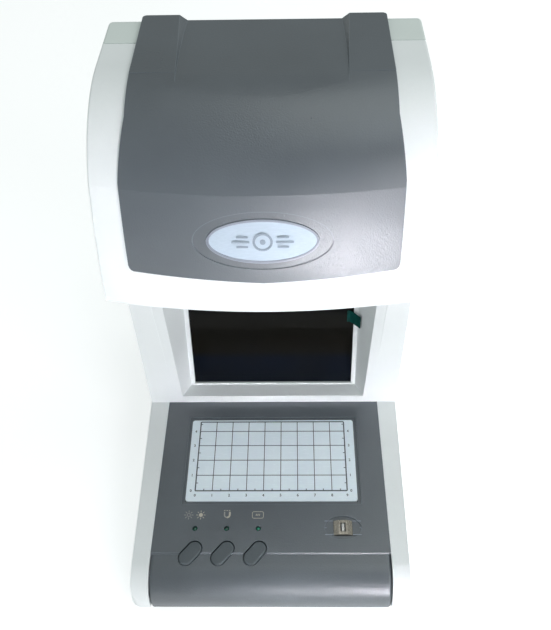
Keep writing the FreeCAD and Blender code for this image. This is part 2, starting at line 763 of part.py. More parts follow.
def bottom_plate():
    plan = base_plan("shell_wall + 2 * fit_gap", "base_hem_width")
    plate = prism("bottom_blank", "XY", plan, "foot_height", "foot_height + plate_thickness")
    stands = [rod(f"board_stand_{row}", "z", "3", "foot_height + plate_thickness - 0.5",
                  "foot_height + 6", across, deep)
              for row, (across, deep) in enumerate(MAIN_BOARD_CORNERS)]
    plate = fuse("bottom_with_stands", plate, *stands)
    cuts = base_posts("bottom_hole", "screw_shank + fit_gap", "foot_height - 1",
                      "foot_height + plate_thickness + 1")
    cuts += base_posts("bottom_sink", "screw_head + fit_gap", "foot_height - 1", "foot_height + 1.5")
    cuts += [rod(f"stand_hole_{row}", "z", "1", "foot_height + 2", "foot_height + 7", across, deep)
             for row, (across, deep) in enumerate(MAIN_BOARD_CORNERS)]
    for row in range(BOTTOM_VENT_ROWS):
        place = f"(bottom_vent_place + {row} * vent_pitch)"
        cuts.append(slab(f"bottom_vent_{row}", "vent_length - 4", place, f"{place} + vent_gap",
                         "foot_height - 1", "foot_height + plate_thickness + 1"))
    return node("bottom_plate", cut("bottom_plate", plate, *cuts))


def feet():
    turned_feet = []
    for name, across, deep in (("front_left", -1, -1), ("front_right", 1, -1),
                               ("back_left", -1, 1), ("back_right", 1, 1)):
        foot = doc.addObject("PartDesign::Body", "foot_" + name)
        turned_feet.append(foot)
        turned = foot.newObject("PartDesign::Revolution", f"foot_{name}_turned")
        profile = body_sketch(foot, f"foot_{name}_side", "XZ", [
            ("0", "0"), ("foot_radius - 1", "0", "1"), ("foot_radius", "1"),
            ("foot_radius", "foot_height"), ("0", "foot_height")])
        turned.Profile = profile
        turned.ReferenceAxis = (profile, ["V_Axis"])
        turned.Angle = 360
        bind(foot, Placement__Base__x=f"{across} * foot_place_across",
             Placement__Base__y=f"{deep} * foot_place_deep")
    node("rubber_feet", group("rubber_feet", *turned_feet))


MAIN_BOARD_CORNERS = [(-50, 34), (50, 34), (-50, 82), (50, 82)]


# ---- dark deck, window, keys and head ------------------------------------------------

def stadium(name, grow, low, high, across):
    """A slanted stadium-shaped block: two round ends joined by straight sides."""
    radius = f"(key_width / 2 + ({grow}))"
    reach = "((key_length - key_width) / 2)"
    lean = "cos(key_slant * 1 deg)"
    rise = "sin(key_slant * 1 deg)"
    plan = [
        (f"{across} - {reach} * {lean} + {radius} * {rise}",
         f"key_place - {reach} * {rise} - {radius} * {lean}"),
        (f"{across} + {reach} * {lean} + {radius} * {rise}",
         f"key_place + {reach} * {rise} - {radius} * {lean}", radius + " * 1.0001"),
        (f"{across} + {reach} * {lean} - {radius} * {rise}",
         f"key_place + {reach} * {rise} + {radius} * {lean}"),
        (f"{across} - {reach} * {lean} - {radius} * {rise}",
         f"key_place - {reach} * {rise} + {radius} * {lean}", radius + " * 1.0001"),
    ]
    return prism(name, "XY", plan, low, high)


def key_centre(index):
    return f"(key_first + {index} * key_pitch)"


def base_deck():
    half = "deck_width / 2"
    drop = "deck_step"
    nose = prism("deck_nose", "YZ", nose_side(drop, "nose_radius", "foot_height + 0.6"),
                 f"-{half}", half)
    table = prism("deck_table", "YZ", [
        ("deck_step_place", "deck_height - 4"), ("deck_back", "deck_height - 4"),
        ("deck_back", "deck_height"), ("deck_step_place + 0.5", "deck_height"),
        ("deck_step_place", "deck_height - deck_step")], f"-{half}", half)
    outside = rounded("deck_outside", fuse("deck_block", nose, table), "2.2", is_nose_corner)
    hollow = prism("deck_hollow", "YZ",
                   [("-total_depth / 2 + shell_wall", "0"), ("deck_back + 1", "0"),
                    ("deck_back + 1", "deck_height - deck_step - shell_wall"),
                    ("-total_depth / 2 + nose_radius", "deck_height - deck_step - shell_wall",
                     "nose_radius - shell_wall"),
                    ("-total_depth / 2 + shell_wall", "deck_height - deck_step - nose_radius")],
                   f"-{half} + shell_wall", f"{half} - shell_wall")
    border = slab("window_border", "window_width + 2 * window_margin",
                  "window_front - window_margin", "window_back + window_margin",
                  "deck_height - window_margin_drop", "deck_height + 1")
    opening = slab("window_opening", "window_width + 2 * fit_gap", "window_front - fit_gap",
                   "window_back + fit_gap", "0", "deck_height + 1")
    dish = head_dish()
    well = box("head_well", "head_across - head_width / 2 - fit_gap",
               "head_across + head_width / 2 + fit_gap",
               "head_place - head_depth / 2 - fit_gap",
               "head_place + head_depth / 2 + fit_gap", "0", "deck_height + 1")
    holes = []
    for index in range(3):
        holes.append(stadium(f"key_hole_{index}", "key_gap", "0", "deck_height + 1",
                             key_centre(index)))
        holes.append(rod(f"lamp_hole_{index}", "z", "lamp_radius + 0.05", "0", "deck_height + 1",
                         key_centre(index) + " + 1.5", "lamp_place"))
    skirt = slab("deck_skirt_trim", "deck_width + 2", "-total_depth / 2 + shell_wall",
                 "deck_back + 1", "0", "foot_height + plate_thickness + fit_gap")
    deck = cut("base_deck", outside, hollow, skirt, border, opening, dish, well, *holes)
    return node("base_deck", deck)


def head_dish():
    """The shallow oval hollow in the deck round the magnetic head."""
    oval = doc.addObject("Part::Ellipse", "head_dish_outline")
    bind(oval, MajorRadius="head_dish_width / 2", MinorRadius="head_dish_reach / 2",
         Placement__Base__x="head_across", Placement__Base__y="head_place",
         Placement__Base__z="deck_height - head_dish_depth")
    dish = doc.addObject("Part::Extrusion", "head_dish")
    dish.Base = oval
    dish.DirMode = "Custom"
    dish.Dir = Vector(0, 0, 1)
    dish.Solid = True
    bind(dish, LengthFwd="head_dish_depth + 1")
    return dish


def is_nose_corner(edge):
    """The two lower outer corners of the nose."""
    place = middle(edge)
    return (runs_along(edge, Vector(0, 0, 1)) and abs(abs(place.x) - number("deck_width / 2")) < 0.01
            and place.y < number("-total_depth / 2") + 0.1)


def window():
    panel = node("window_panel", body("window_panel"))
    block = pad(panel, "panel_block", "XY", centred("window_width", "window_front", "window_back"),
                "deck_height - window_drop - window_thickness", "deck_height - window_drop")
    soften(panel, "panel_corners", block, "window_corner",
           lambda edge: runs_along(edge, Vector(0, 0, 1)))
    top = "deck_height - window_drop - window_thickness"
    guide = slab("light_guide", "window_width - 1", "window_front + 0.5", "window_back - 0.5",
                 f"{top} - 0.1 - guide_thickness", f"{top} - 0.1")
    node("light_guide", guide)
    lamp_top = f"{top} - 0.3 - guide_thickness"
    board_top = f"{lamp_top} - 1.2"
    node("window_board", slab("window_board", "window_width", "window_front", "window_back",
                              f"{board_top} - board_thickness", board_top))
    lamps = [box(f"window_lamp_{column}_{row}", -42 + 28 * column, -38.5 + 28 * column,
                 -44 + 18 * row, -40.5 + 18 * row, board_top, lamp_top)
             for column in range(4) for row in range(3)]
    node("window_lamps", group("window_lamps", *lamps))
    rim = slab("window_rim", "window_width + 5", "window_front - 2.5", "window_back + 2.5",
               f"{board_top} - board_thickness - 1.2", "deck_height - deck_step - shell_wall - 0.1")
    space = slab("window_rim_space", "window_width + 0.4", "window_front - fit_gap",
                 "window_back + fit_gap", f"{board_top} - board_thickness", "deck_height")
    ledge = slab("window_rim_ledge", "window_width - 8", "window_front + 4", "window_back - 4",
                 "0", "deck_height")
    node("window_frame", cut("window_frame", rim, space, ledge))


def keys():
    """Three slanted caps: a rounded top, a lip that keeps them in, and a stem."""
    deck_under = "deck_height - deck_step - shell_wall"
    for index, name in enumerate(("key_light", "key_magnetic", "key_banknote")):
        top = "deck_height - deck_step + key_rise"
        cap = stadium(name + "_cap", "0", f"{deck_under} - 2", top, key_centre(index))
        cap = rounded(name + "_domed", cap, "key_dome",
                      lambda edge: abs(middle(edge).z - number(top)) < 0.01
                      and abs(edge.BoundBox.ZLength) < 0.01)
        lip = stadium(name + "_lip", "key_flange", f"{deck_under} - 2.1", f"{deck_under} - 0.8",
                      key_centre(index))
        stem = rod(name + "_stem", "z", "1.6", f"{KEY_SWITCH_TOP} + 0.05",
                   f"{deck_under} - 1", key_centre(index), "key_place")
        node(name, fuse(name, cap, lip, stem))


KEY_BOARD_TOP = "(foot_height + 9.6)"
KEY_SWITCH_TOP = "(foot_height + 9.6 + 4.2)"


def key_board():
    board = slab("key_board_blank", "116", "-96", "-58", f"{KEY_BOARD_TOP} - board_thickness",
                 KEY_BOARD_TOP)
    node("key_board", board)
    switches = []
    for index in range(3):
        centre = key_centre(index)
        case = box(f"switch_case_{index}", f"{centre} - 3", f"{centre} + 3", "key_place - 3",
                   "key_place + 3", KEY_BOARD_TOP, f"{KEY_BOARD_TOP} + 3")
        plunger = rod(f"switch_plunger_{index}", "z", "1.7", f"{KEY_BOARD_TOP} + 2.9",
                      f"{KEY_SWITCH_TOP} - key_travel", centre, "key_place")
        switches.append(fuse(f"tact_switch_{index}", case, plunger))
    node("tact_switches", group("tact_switches", *switches))
    lenses = []
    for index in range(3):
        centre = key_centre(index) + " + 1.5"
        dome = doc.addObject("Part::Sphere", f"lamp_dome_{index}")
        bind(dome, Radius="lamp_radius", Placement__Base__x=centre,
             Placement__Base__y="lamp_place", Placement__Base__z="deck_height - 1.7")
        stalk = rod(f"lamp_stalk_{index}", "z", "lamp_radius", KEY_BOARD_TOP,
                    "deck_height - 1.7", centre, "lamp_place")
        lenses.append(fuse(f"lamp_lens_{index}", dome, stalk))
    node("indicator_lamps", group("indicator_lamps", *lenses))
    node("buzzer", rod("buzzer", "z", "5", KEY_BOARD_TOP, f"{KEY_BOARD_TOP} + 7.5", 18, -70))


def magnetic_head():
    """A metal can with a saddle top and a slot that shows the core."""
    half = "head_width / 2"
    front = "head_place - head_depth / 2"
    back = "head_place + head_depth / 2"
    base = f"({KEY_BOARD_TOP} + 2)"
    crown = "(deck_height + head_rise)"
    side = [(f"head_across - {half}", base), (f"head_across + {half}", base),
            (f"head_across + {half}", f"{crown} - 1.3"),
            ("head_across + 2.4", crown), ("head_across - 2.4", crown),
            (f"head_across - {half}", f"{crown} - 1.3")]
    can = prism("head_can_block", "XZ", side, front, back)
    slot = box("head_slot", "head_across - head_slot_width / 2", "head_across + head_slot_width / 2",
               "head_place - head_slot_depth / 2", "head_place + head_slot_depth / 2",
               f"{base} - 1", f"{crown} + 1")
    node("magnetic_head_can", cut("magnetic_head_can", can, slot))
    core = box("magnetic_head_core", "head_across - head_slot_width / 2 + 0.8",
               "head_across + head_slot_width / 2 - 0.8", "head_place - head_slot_depth / 2 + 0.5",
               "head_place + head_slot_depth / 2 - 0.5", base, f"{crown} - 0.15")
    node("magnetic_head_core", core)
    seat = box("head_seat", f"head_across - {half} - 1.5", f"head_across + {half} + 1.5",
               f"{front} - 1.5", f"{back} + 1.5", KEY_BOARD_TOP, base)
    node("head_bracket", seat)


# ---- cover and badge -----------------------------------------------------------------

def hood_cover():
    layer = cut("cover_layer",
                slab("cover_room", "total_width", "rim_front - 12", "total_depth / 2",
                     "rim_height + 6", "top_height + 10"),
                hood_layer("cover_inside", "cover_seat - 0.05", "rim_height"))
    skin = overlap("cover_skin", layer, hood_layer("cover_outside", "-cover_rise", "rim_height"))
    ribs = [rib_wedge("rib_right", "channel_foot", "cover_width / 2")]
    ribs.append(mirrored("rib_left", ribs[0]))
    sheet = overlap("cover_sheet", fuse("cover_with_ribs", skin, *ribs), cover_field("cover_outline", "0"))
    cover = cut("cover_with_channel", sheet, channel_wedge())
    return node("hood_cover", cut("hood_cover", cover, *badge_cuts()))


def rib_wedge(name, inner, outer):
    """A rib that grows out of the cover towards the back."""
    level = "(top_height + cover_rise)"
    shallow = outline(name + "_front", "XZ", [
        (inner, f"{level} - 0.6"), (outer, f"{level} - 0.6"), (outer, level), (inner, level)],
        "rib_start")
    deep = outline(name + "_back", "XZ", [
        (inner, f"{level} - 0.6"), (outer, f"{level} - 0.6"),
        (outer, f"{level} + rib_rise"), (inner, f"{level} + rib_rise")], "cover_back")
    return loft(name, shallow, deep)


def channel_wedge():
    """The space of the channel between the ribs: it deepens and widens to the back."""
    level = "(top_height + cover_rise)"
    roof = f"{level} + rib_rise + 1"
    front = outline("channel_front", "XZ", [
        ("-channel_foot", f"{level} - 3.5"), ("channel_foot", f"{level} - 3.5"),
        ("channel_foot + 0.4", roof), ("-channel_foot - 0.4", roof)], "channel_start")
    back = outline("channel_back", "XZ", [
        ("-channel_foot", f"{level} - channel_drop"), ("channel_foot", f"{level} - channel_drop"),
        ("channel_shoulder + 1.3", roof), ("-channel_shoulder - 1.3", roof)], "cover_back + 1")
    return cut("channel", loft("channel_room", front, back), channel_bed())


def channel_bed():
    """What stays under the channel: it follows the brow, then sinks evenly to the back."""
    outside = f"({BROW_RADIUS} + cover_rise)"
    run = "(top_start - channel_start)"
    start = f"(top_height + cover_rise - {outside} + sqrt({outside}^2 - {run}^2))"
    sunk = f"(channel_drop * {run} / (cover_back + 1 - channel_start))"
    return prism("channel_bed", "YZ", [
        ("channel_start - 1", "crease_height"), ("cover_back + 2", "crease_height"),
        ("cover_back + 2", "top_height + cover_rise - channel_drop - 0.01"),
        ("top_start", f"top_height + cover_rise - {sunk}", outside),
        ("channel_start", start), ("channel_start - 1", start)],
        "-channel_shoulder - 3", "channel_shoulder + 3")


def badge_oval(name, length, width, low, high):
    """An oval block square to the hood front; low and high are heights off that face."""
    oval = doc.addObject("Part::Ellipse", name + "_outline")
    bind(oval, MajorRadius=f"({length}) / 2", MinorRadius=f"({width}) / 2")
    tilt = Rotation(Vector(1, 0, 0), 90 - number("badge_lean"))
    normal = tilt.multVec(Vector(0, 0, 1))
    oval.Placement = Placement(Vector(), tilt)
    bind(oval, Placement__Base__y=f"badge_front - ({low}) * cos(badge_lean * 1 deg)",
         Placement__Base__z=f"badge_height + ({low}) * sin(badge_lean * 1 deg)")
    block = doc.addObject("Part::Extrusion", name)
    block.Base = oval
    block.DirMode = "Custom"
    block.Dir = normal
    block.Solid = True
    bind(block, LengthFwd=f"({high}) - ({low})")
    return block


def badge_layer(name, oval, low, high):
    """The part of an oval block between two heights above the white face, bowed like it."""
    shallow = overlap(name + "_block", oval, hood_layer(name + "_top", f"-({high})", "rim_height"))
    return cut(name, shallow, hood_layer(name + "_under", f"-({low})", "rim_height - 2"))


def badge_cuts():
    field = badge_oval("badge_field_cut", "badge_field", "badge_field_width", "-4", "8")
    seat = badge_oval("badge_seat_cut", "badge_length + 2 * badge_border + 0.2",
                      "badge_width + 2 * badge_border + 0.2", "-4", "8")
    return (badge_layer("badge_field_layer", field, "cover_rise - 0.45", "6"),
            badge_layer("badge_seat_layer", seat, "0.1", "6"))


def badge():
    rim = badge_oval("bezel_block", "badge_length + 2 * badge_border",
                     "badge_width + 2 * badge_border", "-4", "8")
    space = badge_oval("bezel_space", "badge_length + 0.1", "badge_width + 0.1", "-4", "8")
    bezel = badge_layer("bezel_rim", rim, "0.15", "cover_rise + 0.25")
    node("badge_bezel", cut("badge_bezel", bezel, badge_layer("bezel_well", space, "0.6", "5")))
    plate = badge_oval("plate_block", "badge_length", "badge_width", "-4", "8")
    node("badge_plate", badge_layer("badge_plate", plate, "0.65", "cover_rise"))


# ---- screen --------------------------------------------------------------------------

def screen():
    lip = "lip_thickness"
    glass_back = "(lip_thickness + glass_thickness)"
    cell_back = "(lip_thickness + glass_thickness + 0.1 + cell_thickness)"
    light_back = f"({cell_back} + 0.1 + backlight_thickness)"
    node("screen_glass", screen_sheet("screen_glass", "screen_width + 6", "-3",
                                      "screen_length + 3", f"{lip} + 0.05", glass_back))
    node("display_cell", screen_sheet("display_cell", "screen_width + 2", "2", "screen_length - 4",
                                      f"{glass_back} + 0.1", cell_back))
    node("display_backlight", screen_sheet("display_backlight", "screen_width + 2", "2",
                                           "screen_length - 4", f"{cell_back} + 0.1", light_back))
    rim = screen_sheet("display_rim", "screen_width + 10", "-5", "screen_length + 5",
                       f"{lip} + tray_wall + 0.1", f"{light_back} + 1.5")
    space = screen_sheet("display_space", "screen_width + 6.4", "-3.2", "screen_length + 3.2",
                         "0", light_back)
    gap = screen_sheet("display_gap", "screen_width - 10", "8", "screen_length - 10", "0", "40")
    node("display_frame", cut("display_frame", rim, space, gap))
    board_front = f"({light_back} + 4.5)"
    node("display_board", screen_sheet("display_board", "96", "6", "screen_length - 4", board_front,
                                       f"{board_front} + board_thickness"))
    posts = []
    for row, (across, up) in enumerate(((-44, 10), (44, 10), (-44, 60), (44, 60))):
        posts.append(screen_plate(f"display_post_{row}", f"{across} - 2.5", f"{across} + 2.5",
                                  f"{up} - 2.5", f"{up} + 2.5", f"{light_back} + 1.5", board_front))
    node("display_spacers", group("display_spacers", *posts))
    chips = [screen_plate(f"display_chip_{row}", left, right, low, high,
                          f"{board_front} + board_thickness", f"{board_front} + board_thickness + 1.4")
             for row, (left, right, low, high) in enumerate(
                 ((-12, 12, 24, 48), (22, 34, 30, 38), (-36, -24, 30, 42)))]
    node("display_chips", group("display_chips", *chips))
    film = screen_sheet("screen_film", "screen_width - 0.8", "0.4", "screen_length - 0.4",
                        f"{lip} - 0.2", lip)
    node("screen_film", film)
    tab()


def tab():
    """The film's pull tab: a short tongue that leaves the film's edge and curls forward."""
    item = doc.addObject("Part::Extrusion", "film_pull_tab")
    item.Base = outline("pull_tab_plan", "XY", [
        ("screen_width / 2 - 4", "-0.25"), ("screen_width / 2 - 2.5", "-0.25"),
        ("screen_width / 2 - 0.75", "-2.05"), ("screen_width / 2 + 3.1", "-7.45"),
        ("screen_width / 2 + 3.4", "-7.3"), ("screen_width / 2 - 0.5", "-1.8"),
        ("screen_width / 2 - 2.4", "0"), ("screen_width / 2 - 4", "0")])
    up = "(screen_length - 23)"
    item.Base.Placement = Placement(Vector(), Rotation(Vector(1, 0, 0), -number("screen_tilt")))
    bind(item.Base, Placement__Base__y=f"screen_front + {up} * {SLOPE_DEEP} + 1.25 * {SLOPE_UP}",
         Placement__Base__z=f"screen_foot + {up} * {SLOPE_UP} - 1.25 * {SLOPE_DEEP}")
    item.DirMode = "Custom"
    item.Dir = Rotation(Vector(1, 0, 0), -number("screen_tilt")).multVec(Vector(0, 0, 1))
    item.Solid = True
    bind(item, LengthFwd="8")
    node("film_pull_tab", item)


# ---- inside the hood -----------------------------------------------------------------

def hood_floor():
    plate = overlap("floor_blank", hood_block("floor_outline", "shell_wall + fit_gap", "rim_height - 2"),
                    slab("floor_room", "total_width", "rim_front - 5", "face_top - fit_gap",
                         "floor_height", "floor_height + floor_thickness"))
    slot = slab("tube_window", "tube_glass - 6", "tube_front - 6.4", "tube_front + 6.4",
                "floor_height - 1", "floor_height + 5")
    lens = rod("lens_window", "z", "lens_radius + 0.8", "floor_height - 1", "floor_height + 5", 0,
               "infrared_row")
    holes = [rod(f"infrared_hole_{row}", "z", "infrared_radius + 0.2", "floor_height - 1",
                 "floor_height + 5", across, "infrared_row")
             for row, across in enumerate(INFRARED_PLACES)]
    node("hood_floor", cut("hood_floor", plate, slot, lens, *holes))


INFRARED_PLACES = (-32, -24, -16, 16, 24, 32)


def ultraviolet_lamp():
    glass = "tube_glass / 2"
    node("lamp_tube", rod("lamp_tube", "x", "tube_radius", f"-{glass}", glass, "tube_front",
                          "tube_height"))
    caps = []
    holders = []
    for side in (-1, 1):
        inner = f"{side} * {glass}" if side > 0 else f"-{glass} - tube_cap"
        outer = f"{glass} + tube_cap" if side > 0 else f"-{glass}"
        shell = rod(f"tube_cap_{side + 1}", "x", "tube_radius", inner, outer, "tube_front",
                    "tube_height")
        tip = f"{glass} + tube_cap" if side > 0 else f"-{glass} - tube_cap - 4"
        end = f"{glass} + tube_cap + 4" if side > 0 else f"-{glass} - tube_cap"
        pins = [rod(f"tube_pin_{side + 1}_{row}", "x", "0.8", tip, end, "tube_front",
                    f"tube_height + {rise}") for row, rise in enumerate((-2.5, 2.5))]
        caps.append(fuse(f"tube_end_{side + 1}", shell, *pins))
        low = f"{glass} + tube_cap + 0.1" if side > 0 else f"-{glass} - tube_cap - 5.6"
        high = f"{glass} + tube_cap + 5.6" if side > 0 else f"-{glass} - tube_cap - 0.1"
        block = box(f"holder_block_{side + 1}", low, high, "tube_front - 6", "tube_front + 6",
                    "floor_height + floor_thickness", "tube_height + 6")
        bores = [rod(f"holder_bore_{side + 1}_{row}", "x", "0.85", tip, end, "tube_front",
                     f"tube_height + {rise}") for row, rise in enumerate((-2.5, 2.5))]
        name = "lamp_holder_left" if side < 0 else "lamp_holder_right"
        holders.append(node(name, cut(name, block, *bores)))
    node("lamp_end_caps", group("lamp_end_caps", *caps))
    reach = "(tube_radius + 1)"
    reflector = doc.addObject("Part::Extrusion", "lamp_reflector")
    low = "(floor_height + floor_thickness)"
    roof = f"(tube_height + {reach})"
    reflector.Base = outline("reflector_side", "YZ", [
        (f"tube_front - {reach}", low), (f"tube_front - {reach} + 0.6", low),
        (f"tube_front - {reach} + 0.6", f"{roof} - 5.4"), (f"tube_front - 4.4", f"{roof} - 0.6"),
        (f"tube_front + 4.4", f"{roof} - 0.6"), (f"tube_front + {reach} - 0.6", f"{roof} - 5.4"),
        (f"tube_front + {reach} - 0.6", low), (f"tube_front + {reach}", low),
        (f"tube_front + {reach}", f"{roof} - 5.1"), (f"tube_front + 4.6", roof),
        (f"tube_front - 4.6", roof), (f"tube_front - {reach}", f"{roof} - 5.1")],
        f"-{glass} + 2")
    reflector.DirMode = "Custom"
    reflector.Dir = Vector(1, 0, 0)
    reflector.Solid = True
    bind(reflector, LengthFwd="tube_glass - 4")
    node("lamp_reflector", reflector)


def camera_piece(name, item, deep, up):
    """Place a piece drawn about the camera's optical axis, which leans forward."""
    item.Placement = Placement(Vector(), Rotation(Vector(1, 0, 0), -number("camera_tilt")))
    lean = "camera_tilt * 1 deg"
    bind(item, Placement__Base__y=f"camera_front + ({up}) * sin({lean}) + ({deep}) * cos({lean})",
         Placement__Base__z=f"camera_height + ({up}) * cos({lean}) - ({deep}) * sin({lean})")
    return item


def camera_box(name, width, depth, up_low, up_high):
    item = doc.addObject("Part::Box", name)
    bind(item, Length=width, Width=depth, Height=f"({up_high}) - ({up_low})",
         Placement__Base__x=f"-({width}) / 2")
    return camera_piece(name, item, f"-({depth}) / 2", up_low)


def camera_rod(name, radius, up_low, up_high):
    item = doc.addObject("Part::Cylinder", name)
    bind(item, Radius=radius, Height=f"({up_high}) - ({up_low})")
    return camera_piece(name, item, "0", up_low)


def camera():
    body_space = camera_rod("camera_bore", "lens_radius - 0.9", "-20", "-1")
    node("camera_holder", cut("camera_holder", fuse("camera_blank", camera_box("camera_cube", 12, 12, -7, 3),
                                                    camera_rod("camera_neck", "lens_radius", -10, -6)),
                              body_space))
    node("camera_lens", camera_rod("camera_lens", "lens_radius - 1", -9, -1.1))
    node("camera_board", camera_box("camera_board", 22, 16, 3, 4.6))
    node("camera_chip", camera_box("camera_chip", 8, 8, 4.6, 6))
    plate = box("infrared_blank", -38, 38, "infrared_row - 3.5", "infrared_row + 4.6",
                "floor_height + floor_thickness + 4", "floor_height + floor_thickness + 5.6")
    hole = box("infrared_hole", -12, 12, "infrared_row - 8", "infrared_row + 12", "floor_height",
               "floor_height + 20")
    node("infrared_board", cut("infrared_board", plate, hole))
    lamps = []
    for row, across in enumerate(INFRARED_PLACES):
        stalk = rod(f"infrared_stalk_{row}", "z", "infrared_radius", "floor_height + 1",
                    "floor_height + floor_thickness + 4", across, "infrared_row")
        dome = doc.addObject("Part::Sphere", f"infrared_dome_{row}")
        bind(dome, Radius="infrared_radius", Placement__Base__x=across,
             Placement__Base__y="infrared_row", Placement__Base__z="floor_height + 1")
        lamps.append(fuse(f"infrared_lamp_{row}", stalk, dome))
    node("infrared_lamps", group("infrared_lamps", *lamps))


# ---- power and boards ----------------------------------------------------------------

def power():
    back = "total_depth / 2"
    block = box("inlet_block", "inlet_across - 5", "inlet_across + 5", f"{back} - 14", f"{back} - 0.4",
                "inlet_height - 6", "inlet_height + 6")
    bore = rod("inlet_bore_cut", "y", "inlet_bore", f"{back} - 10", f"{back} + 1", "inlet_across",
               "inlet_height")
    node("power_inlet", cut("power_inlet", block, bore))
    node("power_inlet_pin", rod("power_inlet_pin", "y", "inlet_pin", f"{back} - 10", f"{back} - 1.4",
                                "inlet_across", "inlet_height"))
    half = "rocker_length / 2"
    tall = "rocker_width / 2"
    case = box("switch_case", f"switch_across - {half} - 2.2", f"switch_across + {half} + 2.2",
               f"{back} - 16", f"{back} - 0.2", f"switch_height - {tall} - 1.8",
               f"switch_height + {tall} + 1.8")
    well = box("switch_well", f"switch_across - {half} - 0.8", f"switch_across + {half} + 0.8",
               f"{back} - 9.6", f"{back} + 1", f"switch_height - {tall} - 0.3",
               f"switch_height + {tall} + 0.3")
    bearing = rod("switch_bearing", "z", "trunnion_radius + 0.05", f"switch_height - {tall} - 1.4",
                  f"switch_height + {tall} + 1.4", "switch_across", "rocker_pivot")
    node("switch_body", cut("switch_body", case, well, bearing))
    arm = doc.addObject("Part::Extrusion", "rocker_arm")
    swing = "tan(rocker_swing * 1 deg)"
    arm.Base = outline("rocker_plan", "XY", [
        ("-rocker_length / 2", "-1.2"), ("-2.2", "-3.4"), ("2.2", "-3.4"), ("rocker_length / 2", "-1.2"),
        ("rocker_length / 2", f"2.4 + rocker_length / 2 * {swing}"), ("0", "2.4"),
        ("-rocker_length / 2", f"2.4 + rocker_length / 2 * {swing}")])
    arm.DirMode = "Custom"
    arm.Dir = Vector(0, 0, 1)
    arm.Solid = True
    bind(arm, LengthFwd="rocker_width")
    trunnion = doc.addObject("Part::Cylinder", "rocker_trunnion")
    bind(trunnion, Radius="trunnion_radius", Height="rocker_width + 2.4", Placement__Base__z="-1.2")
    rocker = fuse("power_rocker", arm, trunnion)
    rocker.Placement = Placement(Vector(), Rotation(Vector(0, 0, 1), -number("rocker_swing")))
    bind(rocker, Placement__Base__x="switch_across", Placement__Base__y="rocker_pivot",
         Placement__Base__z="switch_height - rocker_width / 2")
    node("power_rocker", rocker)
    tabs = [box(f"switch_tab_{row}", across - 2.4, across + 2.4, f"{back} - 24", f"{back} - 16",
                "switch_height - 0.4", "switch_height + 0.4") for row, across in enumerate((34, 46))]
    node("switch_terminals", group("switch_terminals", *tabs))


def main_board():
    low = "(foot_height + 6)"
    top = f"({low} + board_thickness)"
    blank = slab("main_board_blank", 112, 28, 88, low, top)
    holes = [rod(f"main_board_hole_{row}", "z", "1.3", f"{low} - 1", f"{top} + 1", across, deep)
             for row, (across, deep) in enumerate(MAIN_BOARD_CORNERS)]
    node("main_board", cut("main_board", blank, *holes))
    screws = []
    for row, (across, deep) in enumerate(MAIN_BOARD_CORNERS):
        head = rod(f"board_screw_head_{row}", "z", "2.2", top, f"{top} + 1.6", across, deep)
        shank = rod(f"board_screw_shank_{row}", "z", "0.98", f"{low} - 3.5", top, across, deep)
        screws.append(fuse(f"board_screw_{row}", head, shank))
    node("board_screws", group("board_screws", *screws))
    node("main_processor", slab("main_processor", 16, 48, 64, top, f"{top} + 1.6"))
    node("power_coil", rod("power_coil", "z", "6", top, f"{top} + 7", -34, 58))
    cans = [rod(f"capacitor_{row}", "z", "4", top, f"{top} + 9", across, 74)
            for row, across in enumerate((-34, -22, 30))]
    node("capacitors", group("capacitors", *cans))


def lamp_ballast():
    """The board that drives the ultraviolet tube, on two posts behind it."""
    node("ballast_board", slab("ballast_board", 84, "40", "41.6", "195", "225"))
    coil = fuse("ballast_coil_whole", box("ballast_core", -10, 10, "41.6", "55", "202", "218"),
                box("ballast_winding", -7, 7, "43", "57", "200", "220"))
    node("ballast_coil", coil)
    posts = []
    for side in (-1, 1):
        low = "36" if side > 0 else "-total_width / 2 + shell_wall"
        high = "total_width / 2 - shell_wall" if side > 0 else "-36"
        posts.append(box(f"ballast_arm_{side + 1}", low, high, "36.5", "40", "206", "214"))
    node("ballast_brackets", group("ballast_brackets", *posts))


def screws():
    back = "total_depth / 2"
    rear = []
    for head, shank in zip(rear_posts("rear_screw_head", "screw_head", f"{back} - 4", f"{back} - 1.8"),
                           rear_posts("rear_screw_shank", "screw_shank - 0.08", "66", f"{back} - 3.9")):
        rear.append(fuse(head.Name + "_whole", head, shank))
    node("tower_screws", group("tower_screws", *rear))
    under = []
    for head, shank in zip(base_posts("base_screw_head", "screw_head", "foot_height + 0.1",
                                      "foot_height + 1.5"),
                           base_posts("base_screw_shank", "screw_shank - 0.08", "foot_height + 1.4",
                                      "foot_height + 14")):
        under.append(fuse(head.Name + "_whole", head, shank))
    node("base_screws", group("base_screws", *under))


# ---- build, check and write ----------------------------------------------------------

def build():
    front_shell()
    rear_shell()
    base_shell()
    bottom_plate()
    feet()
    base_deck()
    window()
    keys()
    key_board()
    magnetic_head()
    hood_cover()
    badge()
    screen()
    hood_floor()
    ultraviolet_lamp()
    camera()
    power()
    main_board()
    lamp_ballast()
    screws()
    doc.recompute()


def check():
    for item in doc.Objects:
        if any(word in item.State for word in ("Invalid", "Error")):
            raise RuntimeError(f"{item.Name} failed: {item.State}")
    for name, item in nodes.items():
        if item.Shape.isNull() or not item.Shape.isValid() or not item.Shape.Solids:
            raise RuntimeError(f"{name} has no good solid")


def write():
    os.makedirs("parts", exist_ok=True)
    for name, item in nodes.items():
        item.Shape.exportStep(f"parts/{name}.step")
        print(f"{name}: {len(item.Shape.Solids)} solid(s), {item.Shape.Volume:.0f} mm3")


build()
check()
write()
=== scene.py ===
import json
import math

import bmesh
import bpy
from mathutils import Matrix, Vector


